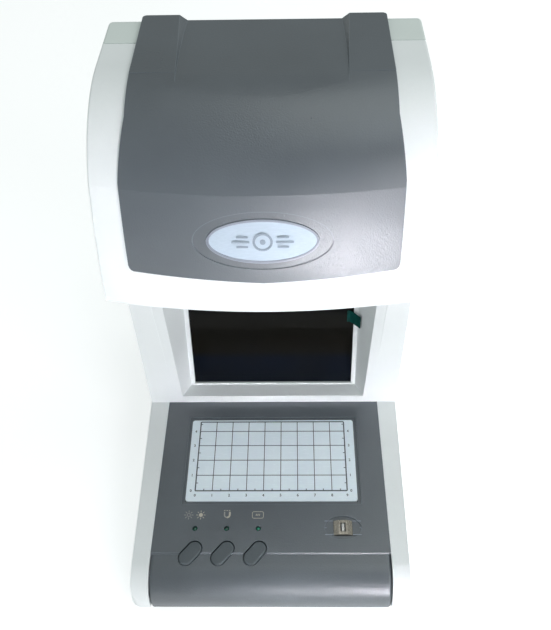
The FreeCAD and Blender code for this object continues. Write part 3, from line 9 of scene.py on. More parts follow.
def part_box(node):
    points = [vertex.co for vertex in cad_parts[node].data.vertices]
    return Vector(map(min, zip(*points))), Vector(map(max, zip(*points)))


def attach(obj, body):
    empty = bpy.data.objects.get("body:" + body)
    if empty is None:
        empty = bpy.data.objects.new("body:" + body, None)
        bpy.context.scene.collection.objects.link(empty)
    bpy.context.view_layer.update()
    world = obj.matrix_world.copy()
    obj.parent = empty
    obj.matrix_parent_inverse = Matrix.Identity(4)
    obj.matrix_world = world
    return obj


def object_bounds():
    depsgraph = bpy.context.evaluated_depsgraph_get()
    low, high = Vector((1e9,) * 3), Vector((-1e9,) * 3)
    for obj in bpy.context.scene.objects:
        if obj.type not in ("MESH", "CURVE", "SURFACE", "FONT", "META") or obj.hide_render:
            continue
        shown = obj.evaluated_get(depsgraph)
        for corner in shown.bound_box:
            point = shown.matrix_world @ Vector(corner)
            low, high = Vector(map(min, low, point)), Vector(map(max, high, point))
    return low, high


# Desk-top banknote viewer: looks, printed marks, light and camera over the CAD frame. Metres.

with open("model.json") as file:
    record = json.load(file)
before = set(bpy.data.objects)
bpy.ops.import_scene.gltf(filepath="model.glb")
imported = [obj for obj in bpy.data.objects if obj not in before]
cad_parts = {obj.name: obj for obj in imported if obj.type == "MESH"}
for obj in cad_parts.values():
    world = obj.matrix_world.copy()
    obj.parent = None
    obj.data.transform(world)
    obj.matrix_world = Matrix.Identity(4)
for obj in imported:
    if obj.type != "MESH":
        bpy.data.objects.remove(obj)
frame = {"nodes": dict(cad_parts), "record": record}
CAD_LOW, CAD_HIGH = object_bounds()
NODES = frame["nodes"]
SHELL = "root_body"
MM = 0.001
PRINT = 0.03 * MM  # thickness of a printed layer
WELD = 0.001 * MM  # points closer than this are one
CREASE_ANGLE = math.radians(24)  # folds steeper than this stay edges
SHALLOW_CREASE = math.radians(4)  # the same for nodes with gentle creases
SHALLOW_NODES = ("hood_cover", "front_shell")
EDGE_TURN = (0.03, 0.30)  # change of normal where the paler edges, a painted highlight with some wear, start and where they are full
EDGE_SAMPLES = 6
MIX_FIRST = 6  # the Mix node's colour sockets, which share their names with others
MIX_SECOND = 7
MIX_RESULT = 2


# ---------------------------------------------------------------- node helpers


def new_material(name, colour, roughness, **sockets):
    """A material with one Principled shader; returns its tree, shader and object-space coordinates."""
    material = bpy.data.materials.new(name)
    material.use_nodes = True
    tree = material.node_tree
    shader = tree.nodes["Principled BSDF"]
    shader.inputs["Base Color"].default_value = (*colour, 1)
    shader.inputs["Roughness"].default_value = roughness
    for socket, value in sockets.items():
        shader.inputs[socket.replace("_", " ")].default_value = value
    place = tree.nodes.new("ShaderNodeTexCoord").outputs["Object"]
    return material, tree, shader, place


def noise(tree, place, size, detail=3.0, stretch=(1, 1, 1), turn=(0, 0, 0)):
    """Noise whose features are about `size` metres across, longer along the stretched axes."""
    mapping = tree.nodes.new("ShaderNodeMapping")
    mapping.inputs["Rotation"].default_value = turn
    mapping.inputs["Scale"].default_value = tuple(1 / (size * s) for s in stretch)
    tree.links.new(place, mapping.inputs["Vector"])
    texture = tree.nodes.new("ShaderNodeTexNoise")
    texture.inputs["Scale"].default_value = 1.0
    texture.inputs["Detail"].default_value = detail
    tree.links.new(mapping.outputs["Vector"], texture.inputs["Vector"])
    return texture.outputs["Fac"]


def ramp(tree, source, stops):
    """Colour ramp through (position, colour) stops."""
    node = tree.nodes.new("ShaderNodeValToRGB")
    elements = node.color_ramp.elements
    for element, (position, colour) in zip(elements, (stops[0], stops[-1])):
        element.position = position
        element.color = (*colour, 1)
    for position, colour in stops[1:-1]:
        elements.new(position).color = (*colour, 1)
    tree.links.new(source, node.inputs["Fac"])
    return node.outputs["Color"]


def spread(tree, source, low, high, start=0.3, end=0.7):
    """The source's start..end range mapped to low..high."""
    node = tree.nodes.new("ShaderNodeMapRange")
    for socket, value in zip(("From Min", "From Max", "To Min", "To Max"), (start, end, low, high)):
        node.inputs[socket].default_value = value
    tree.links.new(source, node.inputs["Value"])
    return node.outputs["Result"]


def blend(tree, factor, first, second):
    """Colour mix; first and second may each be a colour or a socket."""
    node = tree.nodes.new("ShaderNodeMix")
    node.data_type = "RGBA"
    tree.links.new(factor, node.inputs["Factor"])
    for socket, value in ((MIX_FIRST, first), (MIX_SECOND, second)):
        if isinstance(value, tuple):
            node.inputs[socket].default_value = (*value, 1)
        else:
            tree.links.new(value, node.inputs[socket])
    return node.outputs[MIX_RESULT]


def bump(tree, shader, height, depth):
    """A bump of `depth` metres on the shader's normal."""
    node = tree.nodes.new("ShaderNodeBump")
    node.inputs["Distance"].default_value = depth
    node.inputs["Strength"].default_value = 1.0
    tree.links.new(height, node.inputs["Height"])
    tree.links.new(node.outputs["Normal"], shader.inputs["Normal"])


def worn_edges(tree, width=0.45 * MM):
    """Mask of the paler edges, a painted highlight with some wear: 1 on folds and corners, fading to 0
    within `width` of them.
    """
    rounded = tree.nodes.new("ShaderNodeBevel")
    rounded.samples = EDGE_SAMPLES
    rounded.inputs["Radius"].default_value = width
    plain = tree.nodes.new("ShaderNodeNewGeometry")
    turn = tree.nodes.new("ShaderNodeVectorMath")
    turn.operation = "DISTANCE"
    tree.links.new(rounded.outputs["Normal"], turn.inputs[0])
    tree.links.new(plain.outputs["Normal"], turn.inputs[1])
    return spread(tree, turn.outputs["Value"], 0.0, 1.0, *EDGE_TURN)


def shade(colour, factor):
    """The colour made lighter or darker by a factor, at most white."""
    return tuple(min(1.0, channel * factor) for channel in colour)


# ---------------------------------------------------------------- materials

GRAIN_TURN = (0.5, 0.3, 0.7)  # keeps the grain off the axes of the flat faces
PATCH_SIZE = 35 * MM
SPECK_TONE = 1.12


# worn: how much paler the edges are drawn, as a painted highlight with some wear
def moulded_plastic(name, colour, grain, depth, roughness, sheen_and_wear=1.25, patch=0.05, **sockets):
    """Spark-textured moulded plastic: fine grain, faint patches of tone, paler edges that are a painted
    highlight with some rubbed wear.
    """
    material, tree, shader, place = new_material(name, colour, roughness, **sockets)
    patches = noise(tree, place, PATCH_SIZE, 4.0)
    tone = ramp(tree, patches, [(0.3, shade(colour, 1 - patch)), (0.7, shade(colour, 1 + patch))])
    fine = noise(tree, place, grain, 2.0, turn=GRAIN_TURN)
    specks = spread(tree, fine, 0.0, 0.5, 0.60, 0.80)
    tone = blend(tree, specks, tone, shade(colour, SPECK_TONE))
    # paler folds and corners: painted highlight, with some rubbed wear
    rims = worn_edges(tree)
    tone = blend(tree, rims, tone, shade(colour, sheen_and_wear))
    tree.links.new(tone, shader.inputs["Base Color"])
    tree.links.new(spread(tree, patches, roughness - 0.05, roughness + 0.06), shader.inputs["Roughness"])
    bump(tree, shader, fine, depth)
    return material


def white_plastic():
    """White shell plastic, faintly green-grey, with a fine matt grain."""
    return moulded_plastic("white_plastic", (0.80, 0.83, 0.83), 0.4 * MM, 0.04 * MM, 0.42,
                           sheen_and_wear=1.08, patch=0.025, Specular_IOR_Level=0.45)


def rear_plastic():
    """The rear shell's copy of the white plastic, darker and greener: painted shade."""
    return moulded_plastic("rear_plastic", (0.68, 0.74, 0.71), 0.4 * MM, 0.04 * MM, 0.42,
                           sheen_and_wear=1.08, patch=0.025, Specular_IOR_Level=0.45)


def dark_plastic():
    """Dark grey textured plastic of cover and deck."""
    return moulded_plastic("dark_plastic", (0.078, 0.093, 0.106), 0.7 * MM, 0.11 * MM, 0.32,
                           sheen_and_wear=1.7, patch=0.08, Specular_IOR_Level=1.0)


def key_plastic():
    """Dark plastic of the three keys, smoother than the deck."""
    return moulded_plastic("key_plastic", (0.076, 0.092, 0.102), 0.5 * MM, 0.05 * MM, 0.34,
                           sheen_and_wear=1.5, patch=0.08, Specular_IOR_Level=0.5)


def bezel_plastic():
    """Blue-grey plastic of the badge frame."""
    return moulded_plastic("bezel_plastic", (0.20, 0.22, 0.26), 0.4 * MM, 0.03 * MM, 0.36,
                           sheen_and_wear=1.5, patch=0.05, Specular_IOR_Level=0.5)


def black_plastic():
    """Black plastic of the hood floor, socket, switch, chips and frames."""
    return moulded_plastic("black_plastic", (0.020, 0.020, 0.022), 0.5 * MM, 0.06 * MM, 0.45,
                           sheen_and_wear=2.2, patch=0.15)


def soft_rubber():
    """Matt rubber with dusty patches."""
    material, tree, shader, place = new_material("soft_rubber", (0.03, 0.03, 0.03), 0.85)
    dust = noise(tree, place, 6 * MM, 6.0)
    tone = ramp(tree, dust, [(0.45, (0.018, 0.018, 0.018)), (0.75, (0.075, 0.07, 0.065))])
    tree.links.new(tone, shader.inputs["Base Color"])
    bump(tree, shader, noise(tree, place, 0.3 * MM), 0.05 * MM)
    return material


def milky_acrylic():
    """Backed milky acrylic of the window: even, glossy, with faint clouds of tone."""
    material, tree, shader, place = new_material("milky_acrylic", (0.6, 0.7, 0.76), 0.22,
                                                 Subsurface_Weight=0.15, Specular_IOR_Level=0.5)
    shader.inputs["Subsurface Radius"].default_value = (2 * MM, 2.4 * MM, 3 * MM)
    clouds = noise(tree, place, 18 * MM, 3.0)
    tone = ramp(tree, clouds, [(0.3, (0.78, 0.87, 0.94)), (0.7, (0.82, 0.91, 0.97))])
    tree.links.new(tone, shader.inputs["Base Color"])
    scuffs = noise(tree, place, 0.5 * MM, 4.0, (9, 1, 1))
    tree.links.new(spread(tree, scuffs, 0.18, 0.30), shader.inputs["Roughness"])
    bump(tree, shader, scuffs, 0.004 * MM)
    return material


def clear_acrylic():
    """Clear acrylic of the light guide, with faint streaks."""
    material, tree, shader, place = new_material("clear_acrylic", (0.88, 0.95, 0.95), 0.1,
                                                 Transmission_Weight=0.8, IOR=1.49)
    streaks = noise(tree, place, 2 * MM, 3.0, (6, 1, 1))
    tree.links.new(ramp(tree, streaks, [(0.3, (0.84, 0.93, 0.93)), (0.7, (0.92, 0.97, 0.97))]),
                   shader.inputs["Base Color"])
    bump(tree, shader, streaks, 0.01 * MM)
    return material


def screen_glass():
    """Switched-off display behind cover glass: near black, broad faint bands across it painted as
    reflections of the surroundings.
    """
    material, tree, shader, place = new_material("screen_glass", (0.004, 0.005, 0.006), 0.06,
                                                 Specular_IOR_Level=0.06)
    split = tree.nodes.new("ShaderNodeSeparateXYZ")
    tree.links.new(place, split.inputs["Vector"])
    low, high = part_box("screen_glass")
    rise = spread(tree, split.outputs["Z"], 0.0, 1.0, low.z, high.z)
    # painted reflections up the screen: bluish low down, warm in the middle, darkest at the top
    bands = ramp(tree, rise, [(0.0, (0.004, 0.006, 0.009)), (0.30, (0.004, 0.006, 0.012)),
                              (0.36, (0.008, 0.007, 0.005)), (0.72, (0.007, 0.007, 0.006)),
                              (0.80, (0.001, 0.002, 0.003)), (1.0, (0.001, 0.002, 0.003))])
    cloud = noise(tree, place, 30 * MM, 2.0)
    tone = blend(tree, spread(tree, cloud, 0.0, 0.5), bands, (0.006, 0.006, 0.006))
    tree.links.new(tone, shader.inputs["Base Color"])
    smears = noise(tree, place, 12 * MM, 5.0, (3, 1, 1))
    tree.links.new(spread(tree, smears, 0.04, 0.12), shader.inputs["Roughness"])
    bump(tree, shader, smears, 0.01 * MM)
    return material


def clear_film():
    """Thin protective film: nearly invisible, with faint wrinkles."""
    material, tree, shader, place = new_material("clear_film", (0.9, 0.95, 0.95), 0.08,
                                                 Transmission_Weight=1.0, IOR=1.03, Alpha=0.02)
    wrinkles = noise(tree, place, 9 * MM, 4.0, (1, 4, 1))
    tree.links.new(ramp(tree, wrinkles, [(0.3, (0.75, 0.8, 0.8)), (0.7, (0.95, 0.98, 0.98))]),
                   shader.inputs["Base Color"])
    bump(tree, shader, wrinkles, 0.05 * MM)
    return material


def pull_tab():
    """Translucent dark teal tape."""
    material, tree, shader, place = new_material("pull_tab", (0.0, 0.05, 0.04), 0.6,
                                                 Specular_IOR_Level=0.1)
    streaks = noise(tree, place, 1.5 * MM, 3.0, (1, 1, 5))
    tree.links.new(ramp(tree, streaks, [(0.3, (0.0, 0.030, 0.026)), (0.7, (0.0, 0.060, 0.050))]),
                   shader.inputs["Base Color"])
    bump(tree, shader, streaks, 0.03 * MM)
    return material


def circuit_board():
    """Green solder resist with a faint pattern of tracks."""
    material, tree, shader, place = new_material("circuit_board", (0.012, 0.085, 0.03), 0.35)
    tracks = noise(tree, place, 2.5 * MM, 0.0, (1, 6, 1))
    tone = ramp(tree, tracks, [(0.44, (0.010, 0.070, 0.026)), (0.5, (0.03, 0.17, 0.06)),
                               (0.56, (0.010, 0.070, 0.026))])
    tree.links.new(tone, shader.inputs["Base Color"])
    bump(tree, shader, tracks, 0.03 * MM)
    return material


def metal(name, colour, roughness, brush=(1, 1, 1), tarnish=0.75):
    """Metal with fine brushing, tarnished patches and bright edges, the bright edges a painted highlight
    with some wear.
    """
    material, tree, shader, place = new_material(name, colour, roughness, Metallic=1.0)
    stains = noise(tree, place, 2.5 * MM, 5.0)
    tone = ramp(tree, stains, [(0.35, shade(colour, tarnish)), (0.65, colour)])
    # bright edges: painted highlight, with some wear
    rims = worn_edges(tree, 0.25 * MM)
    tone = blend(tree, rims, tone, shade(colour, 1.3))
    tree.links.new(tone, shader.inputs["Base Color"])
    lines = noise(tree, place, 0.12 * MM, 2.0, brush)
    tree.links.new(spread(tree, lines, roughness * 0.8, roughness * 1.3), shader.inputs["Roughness"])
    bump(tree, shader, lines, 0.01 * MM)
    return material


def badge_foil():
    """Silver-blue satin plate with fine sideways brushing."""
    material, tree, shader, place = new_material("badge_foil", (0.52, 0.64, 0.74), 0.5,
                                                 Metallic=0.15, Specular_IOR_Level=0.4)
    lines = noise(tree, place, 0.10 * MM, 2.0, (40, 1, 1))
    tone = ramp(tree, lines, [(0.3, (0.36, 0.43, 0.50)), (0.7, (0.43, 0.51, 0.58))])
    tree.links.new(tone, shader.inputs["Base Color"])
    bump(tree, shader, lines, 0.004 * MM)
    return material


def print_ink(name, colour, thin=0.8):
    """Screen-printed ink, slightly uneven."""
    material, tree, shader, place = new_material(name, colour, 0.5)
    patches = noise(tree, place, 0.6 * MM, 3.0)
    tree.links.new(ramp(tree, patches, [(0.3, shade(colour, thin)), (0.7, colour)]),
                   shader.inputs["Base Color"])
    bump(tree, shader, patches, 0.01 * MM)
    return material


def lamp_lens():
    """Green lamp lens, brighter towards one side of each lamp as a painted glint."""
    material, tree, shader, place = new_material("lamp_lens", (0.0, 0.1, 0.05), 0.12,
                                                 Specular_IOR_Level=0.7, Coat_Weight=0.6)
    spots = noise(tree, place, 1.1 * MM, 1.0)
    # bright green spots: a painted glint in each lens
    tree.links.new(ramp(tree, spots, [(0.42, (0.0, 0.035, 0.022)), (0.62, (0.0, 0.20, 0.11))]),
                   shader.inputs["Base Color"])
    bump(tree, shader, spots, 0.05 * MM)
    return material


def tube_glass():
    """Dark violet lamp glass with a faint cloud inside."""
    material, tree, shader, place = new_material("tube_glass", (0.03, 0.015, 0.08), 0.08,
                                                 Coat_Weight=0.5)
    cloud = noise(tree, place, 20 * MM, 3.0, (3, 1, 1))
    tree.links.new(ramp(tree, cloud, [(0.3, (0.018, 0.010, 0.05)), (0.7, (0.05, 0.028, 0.12))]),
                   shader.inputs["Base Color"])
    bump(tree, shader, cloud, 0.02 * MM)
    return material


def lens_glass():
    """Coated dark glass of the camera lens and the infrared lamps."""
    material, tree, shader, place = new_material("lens_glass", (0.01, 0.01, 0.03), 0.04,
                                                 Coat_Weight=1.0)
    tint = noise(tree, place, 3 * MM, 1.0)
    tree.links.new(ramp(tree, tint, [(0.3, (0.006, 0.008, 0.03)), (0.7, (0.03, 0.01, 0.04))]),
                   shader.inputs["Base Color"])
    bump(tree, shader, tint, 0.005 * MM)
    return material


def soft_floor():
    """Pale sheet that glows a little, so that the ground stays even."""
    material, tree, shader, place = new_material("soft_floor", (0.93, 0.94, 0.94), 0.8,
                                                 Emission_Strength=0.42)
    shader.inputs["Emission Color"].default_value = (1, 1, 1, 1)
    tint = noise(tree, place, 0.6, 2.0)
    tree.links.new(ramp(tree, tint, [(0.3, (0.92, 0.93, 0.93)), (0.7, (0.94, 0.95, 0.95))]),
                   shader.inputs["Base Color"])
    return material


SLOT_MATERIALS = {
    "white_shell": white_plastic(),
    "dark_cover": dark_plastic(),
    "dark_key": key_plastic(),
    "bezel": bezel_plastic(),
    "black_plastic": black_plastic(),
    "badge_silver": badge_foil(),
    "rubber": soft_rubber(),
    "window_milky": milky_acrylic(),
    "clear_acrylic": clear_acrylic(),
    "board": circuit_board(),
    "screen_black": screen_glass(),
    "clear_film": clear_film(),
    "tab_green": pull_tab(),
    "tube_glass": tube_glass(),
    "lens_glass": lens_glass(),
    "lamp_green": lamp_lens(),
    "head_steel": metal("head_steel", (0.44, 0.40, 0.34), 0.28, (1, 12, 1), 0.85),
    "head_core": metal("head_core", (0.85, 0.83, 0.78), 0.25, (1, 12, 1)),
    "steel": metal("steel", (0.55, 0.55, 0.53), 0.35),
    "reflector_alu": metal("reflector_alu", (0.85, 0.86, 0.87), 0.22, (20, 1, 1), 0.9),
    "brass_pin": metal("brass_pin", (0.75, 0.57, 0.27), 0.3),
}
SLOT_MATERIALS["dark_deck"] = SLOT_MATERIALS["dark_cover"]
SLOT_MATERIALS["holder_white"] = SLOT_MATERIALS["white_shell"]
SLOT_MATERIALS["led_white"] = SLOT_MATERIALS["window_milky"]
SLOT_MATERIALS["lamp_infrared"] = SLOT_MATERIALS["lens_glass"]

NODE_MATERIALS = {"rear_shell": rear_plastic()}  # nodes that differ from their slot; the rear shell gets a darker copy as painted shade

INKS = {
    "window": print_ink("window_ink", (0.075, 0.095, 0.11)),
    "pale": print_ink("pale_ink", (0.58, 0.54, 0.44)),
    "dim": print_ink("dim_ink", (0.40, 0.39, 0.35)),
    # pale colour of the raised guides: painted highlight
    "ridge": print_ink("painted_ridge_highlight", (0.32, 0.36, 0.41)),
    "emblem": print_ink("emblem_ink", (0.22, 0.27, 0.32), 0.9),
}


def crisp_group(crease):
    """Geometry nodes that weld the faces and keep folds steeper than the crease angle as edges."""
    group = bpy.data.node_groups.new("crisp_edges", "GeometryNodeTree")
    group.interface.new_socket("Geometry", in_out="INPUT", socket_type="NodeSocketGeometry")
    group.interface.new_socket("Geometry", in_out="OUTPUT", socket_type="NodeSocketGeometry")
    start = group.nodes.new("NodeGroupInput")
    end = group.nodes.new("NodeGroupOutput")
    weld = group.nodes.new("GeometryNodeMergeByDistance")
    weld.inputs["Distance"].default_value = WELD
    smooth = group.nodes.new("GeometryNodeSetShadeSmooth")
    angle = group.nodes.new("GeometryNodeInputMeshEdgeAngle")
    sharper = group.nodes.new("FunctionNodeCompare")
    sharper.operation = "GREATER_THAN"
    sharper.inputs[1].default_value = crease
    normal = group.nodes.new("GeometryNodeSetMeshNormal")
    normal.mode = "SHARPNESS"
    normal.inputs["Remove Custom"].default_value = True
    group.links.new(start.outputs[0], weld.inputs["Geometry"])
    group.links.new(weld.outputs["Geometry"], smooth.inputs["Geometry"])
    group.links.new(smooth.outputs["Geometry"], normal.inputs["Mesh"])
    group.links.new(angle.outputs["Unsigned Angle"], sharper.inputs[0])
    group.links.new(sharper.outputs["Result"], normal.inputs["Edge Sharpness"])
    group.links.new(normal.outputs["Mesh"], end.inputs[0])
    return group


def paint_nodes():
    """Gives every CAD node its own or its slot's material, crisp edges and even flat faces."""
    usual = crisp_group(CREASE_ANGLE)
    shallow = crisp_group(SHALLOW_CREASE)
    for part in frame["record"]["subparts"]:
        node = NODES[part["node"]]
        node.data.materials.clear()
        slot_material = SLOT_MATERIALS[part["material_slot"]]
        node.data.materials.append(NODE_MATERIALS.get(part["node"], slot_material))
        group = shallow if part["node"] in SHALLOW_NODES else usual
        node.modifiers.new("crisp_edges", "NODES").node_group = group
        even = node.modifiers.new("even_faces", "WEIGHTED_NORMAL")
        even.keep_sharp = True
        even.weight = 100


# ---------------------------------------------------------------- flat printed shapes


def bar(start, end, width):
    """Rectangle along a line, as four points in the plane."""
    start, end = Vector(start), Vector(end)
    along = (end - start).normalized()
    side = Vector((-along.y, along.x)) * width / 2
    return [start - side, end - side, end + side, start + side]


def arc(centre, radius, first, last, count):
    """Points that split a circle's arc, from angle first to last in degrees, into `count` steps."""
    angles = [math.radians(first + (last - first) * i / count) for i in range(count + 1)]
    return [Vector((centre[0] + radius * math.cos(a), centre[1] + radius * math.sin(a))) for a in angles]


def disc(centre, radius):
    """A circle as an outline of 24 points."""
    return arc(centre, radius, 0, 345, 23)


def track(points, width, closed=False):
    """A line of some width through the points, as short four-sided pieces."""
    ends = points[1:] + points[:1] if closed else points[1:]
    return [bar(a, b, width) for a, b in zip(points, ends)]


def rounded_frame(centre, width, height, corner, line):
    """Outline of a rounded rectangle."""
    across, up = width / 2 - corner, height / 2 - corner
    points = []
    for turn, (sign_x, sign_y) in enumerate(((1, 1), (-1, 1), (-1, -1), (1, -1))):
        middle = (centre[0] + sign_x * across, centre[1] + sign_y * up)
        points += arc(middle, corner, 90 * turn, 90 * turn + 90, 4)
    return track(points, line, True)


def plate(name, outlines, material, place=Matrix(), height=PRINT):
    """One piece of closed thin solids over flat outlines, put in place by a matrix."""
    mesh = bmesh.new()
    for outline in outlines:
        add_prism(mesh, outline, place, height)
    finish_piece(name, mesh, material)


def add_prism(mesh, outline, place, height):
    """Adds a closed prism over a flat outline, put in place by a matrix."""
    low = [mesh.verts.new(place @ Vector((p[0], p[1], 0))) for p in outline]
    high = [mesh.verts.new(place @ Vector((p[0], p[1], height))) for p in outline]
    mesh.faces.new(low[::-1])
    mesh.faces.new(high)
    for i in range(len(outline)):
        j = (i + 1) % len(outline)
        mesh.faces.new((low[i], low[j], high[j], high[i]))


def finish_piece(name, mesh, material, body=SHELL):
    """Turns a bmesh into a piece that rides on a body."""
    bmesh.ops.recalc_face_normals(mesh, faces=mesh.faces)
    data = bpy.data.meshes.new(name)
    mesh.to_mesh(data)
    mesh.free()
    data.materials.append(material)
    piece = bpy.data.objects.new(name, data)
    bpy.context.scene.collection.objects.link(piece)
    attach(piece, body)


# ---------------------------------------------------------------- window print

CELL = 10 * MM
COLUMNS, ROWS = 9, 4
GRID_LEFT = -44.7 * MM
GRID_FRONT = -45.5 * MM
GRID_WIDTH = 88.85 * MM
GRID_DEPTH = 46.8 * MM
THIN_LINE = 0.45 * MM
THICK_LINE = 0.75 * MM
TICK = 1.3 * MM
NUMBER_HEIGHT = 2.3 * MM
NUMBER_WEIGHT = 0.06 * MM
NUMBER_DROP = 2.9 * MM  # from the grid's front line to the middle of the numbers
NUMBER_GAP_LEFT = 2.6 * MM
NUMBER_GAP_RIGHT = 2.4 * MM


def window_level():
    """Height of the window's face."""
    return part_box("window_panel")[1].z


def grid_outlines():
    """Centimetre grid, its heavier border and the half-way ticks."""
    left, right = GRID_LEFT, GRID_LEFT + GRID_WIDTH
    front, back = GRID_FRONT, GRID_FRONT + GRID_DEPTH
    lines = [bar((left + i * CELL, front), (left + i * CELL, back), THIN_LINE)
             for i in range(1, COLUMNS)]
    lines += [bar((left, front + i * CELL), (right, front + i * CELL), THIN_LINE)
              for i in range(1, ROWS + 1)]
    corners = [Vector(c) for c in ((left, front), (right, front), (right, back), (left, back))]
    lines += track(corners, THICK_LINE, True)
    lines += [bar((left + (i + 0.5) * CELL, front), (left + (i + 0.5) * CELL, front + TICK), THIN_LINE)
              for i in range(COLUMNS)]
    for i in range(ROWS + 1):
        level = front + min((i + 0.5) * CELL, GRID_DEPTH - TICK)
        lines.append(bar((left, level), (left + TICK, level), THIN_LINE))
        lines.append(bar((right - TICK, level), (right, level), THIN_LINE))
    return lines


def number_places():
    """(text, x, y) of each number round the grid."""
    grid_right = GRID_LEFT + GRID_WIDTH
    places = [(str(i), min(GRID_LEFT + i * CELL, grid_right), GRID_FRONT - NUMBER_DROP)
              for i in range(COLUMNS + 1)]
    for i in range(ROWS + 1):
        for x in (GRID_LEFT - NUMBER_GAP_LEFT, grid_right + NUMBER_GAP_RIGHT):
            places.append((str(i), x, GRID_FRONT + i * CELL))
    return places


def number_mesh(text, x, y):
    """One printed number as a mesh lying in the window's plane."""
    curve = bpy.data.curves.new("number", "FONT")
    curve.body = text
    curve.size = NUMBER_HEIGHT
    curve.align_x = "CENTER"
    curve.align_y = "CENTER"
    curve.offset = NUMBER_WEIGHT
    curve.extrude = PRINT / 2
    curve.resolution_u = 3
    item = bpy.data.objects.new("number", curve)
    mesh = bpy.data.meshes.new_from_object(item)
    mesh.transform(Matrix.Translation((x, y, window_level() + PRINT / 2)))
    bpy.data.objects.remove(item)
    return mesh


def window_print():
    """The grid and its numbers, printed on the window."""
    plate("window_grid", grid_outlines(), INKS["window"],
          Matrix.Translation((0, 0, window_level())))
    numbers = bmesh.new()
    for text, x, y in number_places():
        numbers.from_mesh(number_mesh(text, x, y))
    finish_piece("window_numbers", numbers, INKS["window"])


# ---------------------------------------------------------------- deck marks

ICON_LINE = 0.42 * MM
ICON_ROW = -60.7 * MM
DIM_LIGHT_X = -47.0 * MM
BRIGHT_LIGHT_X = -40.1 * MM
MAGNET_X = -25.1 * MM
NOTE_X = -7.5 * MM
GUIDE_LINE = 0.32 * MM
GUIDE_RISE = 0.15 * MM
GUIDE_STEP = 4.0 * MM
GUIDE_REACH = 5.0 * MM
GUIDE_GAP = 4.1 * MM  # from the head to the middle guide
GUIDE_INSET = 3.8 * MM  # how much nearer the outer guides start


def deck_level():
    """Height of the deck's face, taken from the top of the base shell."""
    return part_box("base_shell")[1].z


def on_deck(x, y):
    """The place of a mark lying on the deck."""
    return Matrix.Translation((x, y, deck_level()))


def sun(core, ray_start, ray_end):
    """A disc or ring with eight rays, round the origin."""
    rays = []
    for i in range(8):
        way = Vector((math.cos(math.pi * i / 4), math.sin(math.pi * i / 4)))
        rays.append(bar(way * ray_start, way * ray_end, ICON_LINE * 0.8))
    return rays + core


def light_icons():
    """Small dim sun and larger bright sun, for the light level."""
    dim = sun(track(disc((0, 0), 0.9 * MM), ICON_LINE * 0.6, True), 1.5 * MM, 2.7 * MM)
    plate("icon_dim_light", dim, INKS["dim"], on_deck(DIM_LIGHT_X, ICON_ROW))
    bright = sun([disc((0, 0), 1.15 * MM)], 1.6 * MM, 2.7 * MM)
    plate("icon_bright_light", bright, INKS["pale"], on_deck(BRIGHT_LIGHT_X, ICON_ROW))


def magnet_icon():
    """Horseshoe magnet in a thick pale half and a thinner dim half, with three dashes above."""
    bend = 1.5 * MM
    arm = 1.9 * MM
    place = on_deck(MAGNET_X, ICON_ROW)
    half = [Vector((bend, arm))] + arc((0, 0), bend, 0, -90, 8)
    plate("icon_magnet_bright", track(half, 1.0 * MM), INKS["pale"], place)
    other = [Vector((-p.x, p.y)) for p in half]
    plate("icon_magnet_dim", track(other, 0.7 * MM), INKS["dim"], place)
    level = arm + 0.8 * MM
    dashes = [bar((x, level), (x + 0.8 * MM, level), ICON_LINE)
              for x in (-1.9 * MM, -0.5 * MM, 0.9 * MM)]
    plate("icon_magnet_field", dashes, INKS["pale"], place)


def note_icon():
    """A note's rounded outline with three slanted strokes."""
    outline = rounded_frame((0, 0), 6.3 * MM, 4.0 * MM, 0.9 * MM, ICON_LINE * 0.75)
    strokes = [bar((x, -0.5 * MM), (x + 0.4 * MM, 0.6 * MM), 0.4 * MM)
               for x in (-1.1 * MM, -0.2 * MM, 0.7 * MM)]
    plate("icon_note", outline + strokes, INKS["pale"], on_deck(NOTE_X, ICON_ROW))


def head_guides():
    """Three raised guide lines on either side of the magnetic head, pale as a painted highlight on their
    ridges.
    """
    low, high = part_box("magnetic_head_can")
    middle = (low + high) / 2
    lines = []
    for side, edge in ((-1, low.x), (1, high.x)):
        for step in (-1, 0, 1):
            y = middle.y + step * GUIDE_STEP
            start = edge + side * (GUIDE_GAP - GUIDE_INSET * abs(step))
            end = edge + side * GUIDE_REACH
            lines.append(bar((start, y), (end, y), GUIDE_LINE))
    plate("head_guides", lines, INKS["ridge"], on_deck(0, 0), GUIDE_RISE)


# ---------------------------------------------------------------- badge emblem

BADGE_LEAN = math.radians(17.5)  # the badge's face leans back from upright
RING_RADIUS = 4.0 * MM
RING_WIDTH = 1.1 * MM
DOT_RADIUS = 1.3 * MM
BAR_WIDTH = 1.0 * MM
BAR_STEP = 2.4 * MM
BAR_INNER = 5.9 * MM  # the middle bar's two ends; the outer bars start later and end sooner
BAR_OUTER = 14.0 * MM
BAR_LATER = 0.7 * MM
BAR_SOONER = 2.2 * MM


def badge_emblem():
    """A plain lens-over-note sign: a ring between two stacks of short bars."""
    low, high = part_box("badge_plate")
    centre = (low + high) / 2
    outward = Vector((0, -math.cos(BADGE_LEAN), math.sin(BADGE_LEAN)))
    up = Vector((0, math.sin(BADGE_LEAN), math.cos(BADGE_LEAN)))
    turn = Matrix((Vector((1, 0, 0)), up, outward)).transposed().to_4x4()
    reach = max((Vector(v.co) - centre).dot(outward) for v in NODES["badge_plate"].data.vertices)
    place = Matrix.Translation(centre + outward * reach) @ turn
    ring = track(disc((0, 0), RING_RADIUS), RING_WIDTH, True)
    bars = []
    for side in (-1, 1):
        for step in (-1, 0, 1):
            y = step * BAR_STEP
            inner = BAR_INNER + BAR_LATER * abs(step)
            outer = BAR_OUTER - BAR_SOONER * abs(step)
            bars.append(bar((side * inner, y), (side * outer, y), BAR_WIDTH))
    dot = [disc((0, 0), DOT_RADIUS)]
    plate("badge_emblem", ring + bars + dot, INKS["emblem"], place)


# ---------------------------------------------------------------- screws

CROSS_REACH = 1.7 * MM
CROSS_WIDTH = 0.7 * MM
HEAD_FACE_DEPTH = 0.2 * MM  # points this near the outermost one are on a head's face
HEAD_SPACING = 8 * MM  # points closer than this belong to one screw


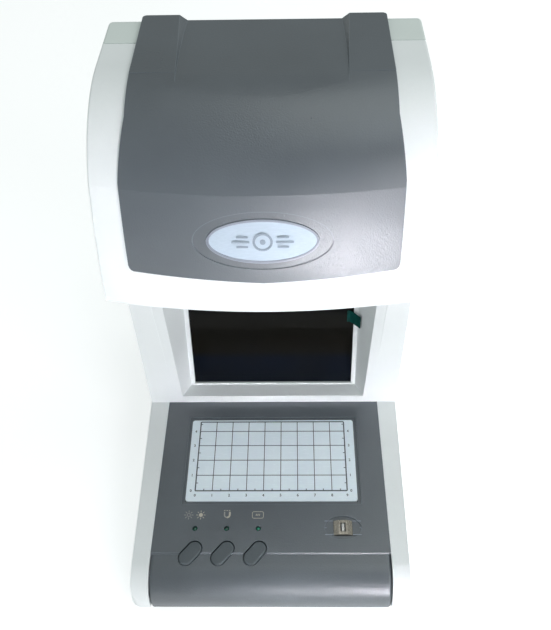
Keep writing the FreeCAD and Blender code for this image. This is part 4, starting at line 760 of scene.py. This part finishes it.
def screw_crosses():
    """Dark crosses on the heads of the tower and base screws: painted shade standing in for their cross
    recesses.
    """
    crosses = bmesh.new()
    for node, way in (("tower_screws", Vector((0, 1, 0))), ("base_screws", Vector((0, 0, -1)))):
        for centre in screw_heads(node, way):
            turn = way.to_track_quat("Z", "Y").to_matrix().to_4x4()
            for flat in (Vector((1, 0)), Vector((0, 1))):
                outline = bar(-flat * CROSS_REACH, flat * CROSS_REACH, CROSS_WIDTH)
                add_prism(crosses, outline, Matrix.Translation(centre) @ turn, PRINT)
    finish_piece("screw_crosses", crosses, SLOT_MATERIALS["black_plastic"])


def screw_heads(node, way):
    """Centre of each screw's outer face: the outermost points, grouped by place."""
    groups = []
    spots = [Vector(v.co) for v in NODES[node].data.vertices]
    outermost = max(s.dot(way) for s in spots)
    for spot in spots:
        if outermost - spot.dot(way) > HEAD_FACE_DEPTH:
            continue
        near = [g for g in groups if (g[0] - spot).length < HEAD_SPACING]
        if near:
            near[0].append(spot)
        else:
            groups.append([spot])
    centres = []
    for group in groups:
        low = Vector([min(s[i] for s in group) for i in range(3)])
        high = Vector([max(s[i] for s in group) for i in range(3)])
        centres.append((low + high) / 2)
    return centres


# ---------------------------------------------------------------- camera, floor, light

LENS = 42.4
SENSOR = 36.0
CAMERA_PLACE = Vector((0.0139, -0.2488, 0.4238))
PITCH = math.radians(48.6)
YAW = math.radians(-1.52)
ROLL = math.radians(1.48)
SHIFT = (-0.0090, -0.0222)
FLOOR_HALF = 6.0
WORLD_COLOUR = (0.92, 0.99, 0.98)
WORLD_STRENGTH = 0.43
MIDDLE = Vector((0, 0, 0.12))  # the wide lights aim here
GLINT_PLACE = Vector((0.20, -0.70, 0.08))
HOOD_SPOT = Vector((0.030, -0.01, 0.19))
NOSE_SPOT = Vector((0.045, -0.10, 0.02))
LAVENDER = (0.95, 0.93, 1.0)
ROOM_WHITE = (0.98, 0.97, 1.0)
CEILING_WHITE = (0.94, 1.0, 0.98)


def make_camera():
    """A hand-held view from above the front edge."""
    data = bpy.data.cameras.new("camera")
    data.lens = LENS
    data.sensor_width = SENSOR
    data.shift_x, data.shift_y = SHIFT
    data.clip_start = 0.01
    camera = bpy.data.objects.new("camera", data)
    bpy.context.scene.collection.objects.link(camera)
    ahead = math.cos(PITCH)
    forward = Vector((math.sin(YAW) * ahead, math.cos(YAW) * ahead, -math.sin(PITCH)))
    level = Vector((math.cos(YAW), -math.sin(YAW), 0))
    down = forward.cross(level)
    right = level * math.cos(ROLL) + down * math.sin(ROLL)
    lower = down * math.cos(ROLL) - level * math.sin(ROLL)
    turn = Matrix((right, -lower, -forward)).transposed().to_4x4()
    camera.matrix_world = Matrix.Translation(CAMERA_PLACE) @ turn
    bpy.context.scene.camera = camera


def make_floor():
    """Pale sheet under the feet."""
    mesh = bmesh.new()
    bmesh.ops.create_grid(mesh, x_segments=2, y_segments=2, size=FLOOR_HALF)
    data = bpy.data.meshes.new("floor")
    mesh.to_mesh(data)
    mesh.free()
    data.materials.append(soft_floor())
    floor = bpy.data.objects.new("floor", data)
    floor.location.z = CAD_LOW.z
    bpy.context.scene.collection.objects.link(floor)


def area_light(name, place, size, power, colour, target=MIDDLE, beam=180):
    """A rectangular light aimed at the target; beam is its opening in degrees."""
    data = bpy.data.lights.new(name, "AREA")
    data.spread = math.radians(beam)
    data.shape = "RECTANGLE"
    data.size, data.size_y = size
    data.energy = power
    data.color = colour
    light = bpy.data.objects.new(name, data)
    light.location = place
    light.rotation_euler = (target - Vector(place)).to_track_quat("-Z", "Y").to_euler()
    light.visible_camera = False
    bpy.context.scene.collection.objects.link(light)


def make_light():
    """Even pale surroundings, cool light from the front right and above, glints on hood and nose."""
    world = bpy.data.worlds.new("world")
    world.use_nodes = True
    background = world.node_tree.nodes["Background"]
    background.inputs["Color"].default_value = (*WORLD_COLOUR, 1)
    background.inputs["Strength"].default_value = WORLD_STRENGTH
    bpy.context.scene.world = world
    bpy.context.scene.view_settings.view_transform = "Standard"
    area_light("hood_glint", GLINT_PLACE, size=(0.22, 0.10), power=0.055, colour=LAVENDER,
               target=HOOD_SPOT, beam=14)
    area_light("nose_glint", GLINT_PLACE, size=(0.16, 0.10), power=0.034, colour=LAVENDER,
               target=NOSE_SPOT, beam=10)
    area_light("front_light", (0.40, -1.10, 0.45), size=(0.5, 0.5), power=3.2, colour=LAVENDER)
    area_light("room_light", (0.95, -0.95, 0.95), size=(0.7, 0.7), power=4.5, colour=ROOM_WHITE)
    area_light("ceiling_light", (0.5, 0.2, 1.4), size=(1.2, 1.2), power=5, colour=CEILING_WHITE)


# ---------------------------------------------------------------- everything

make_camera()
make_floor()
make_light()
paint_nodes()
window_print()
light_icons()
magnet_icon()
note_icon()
head_guides()
badge_emblem()
screw_crosses()
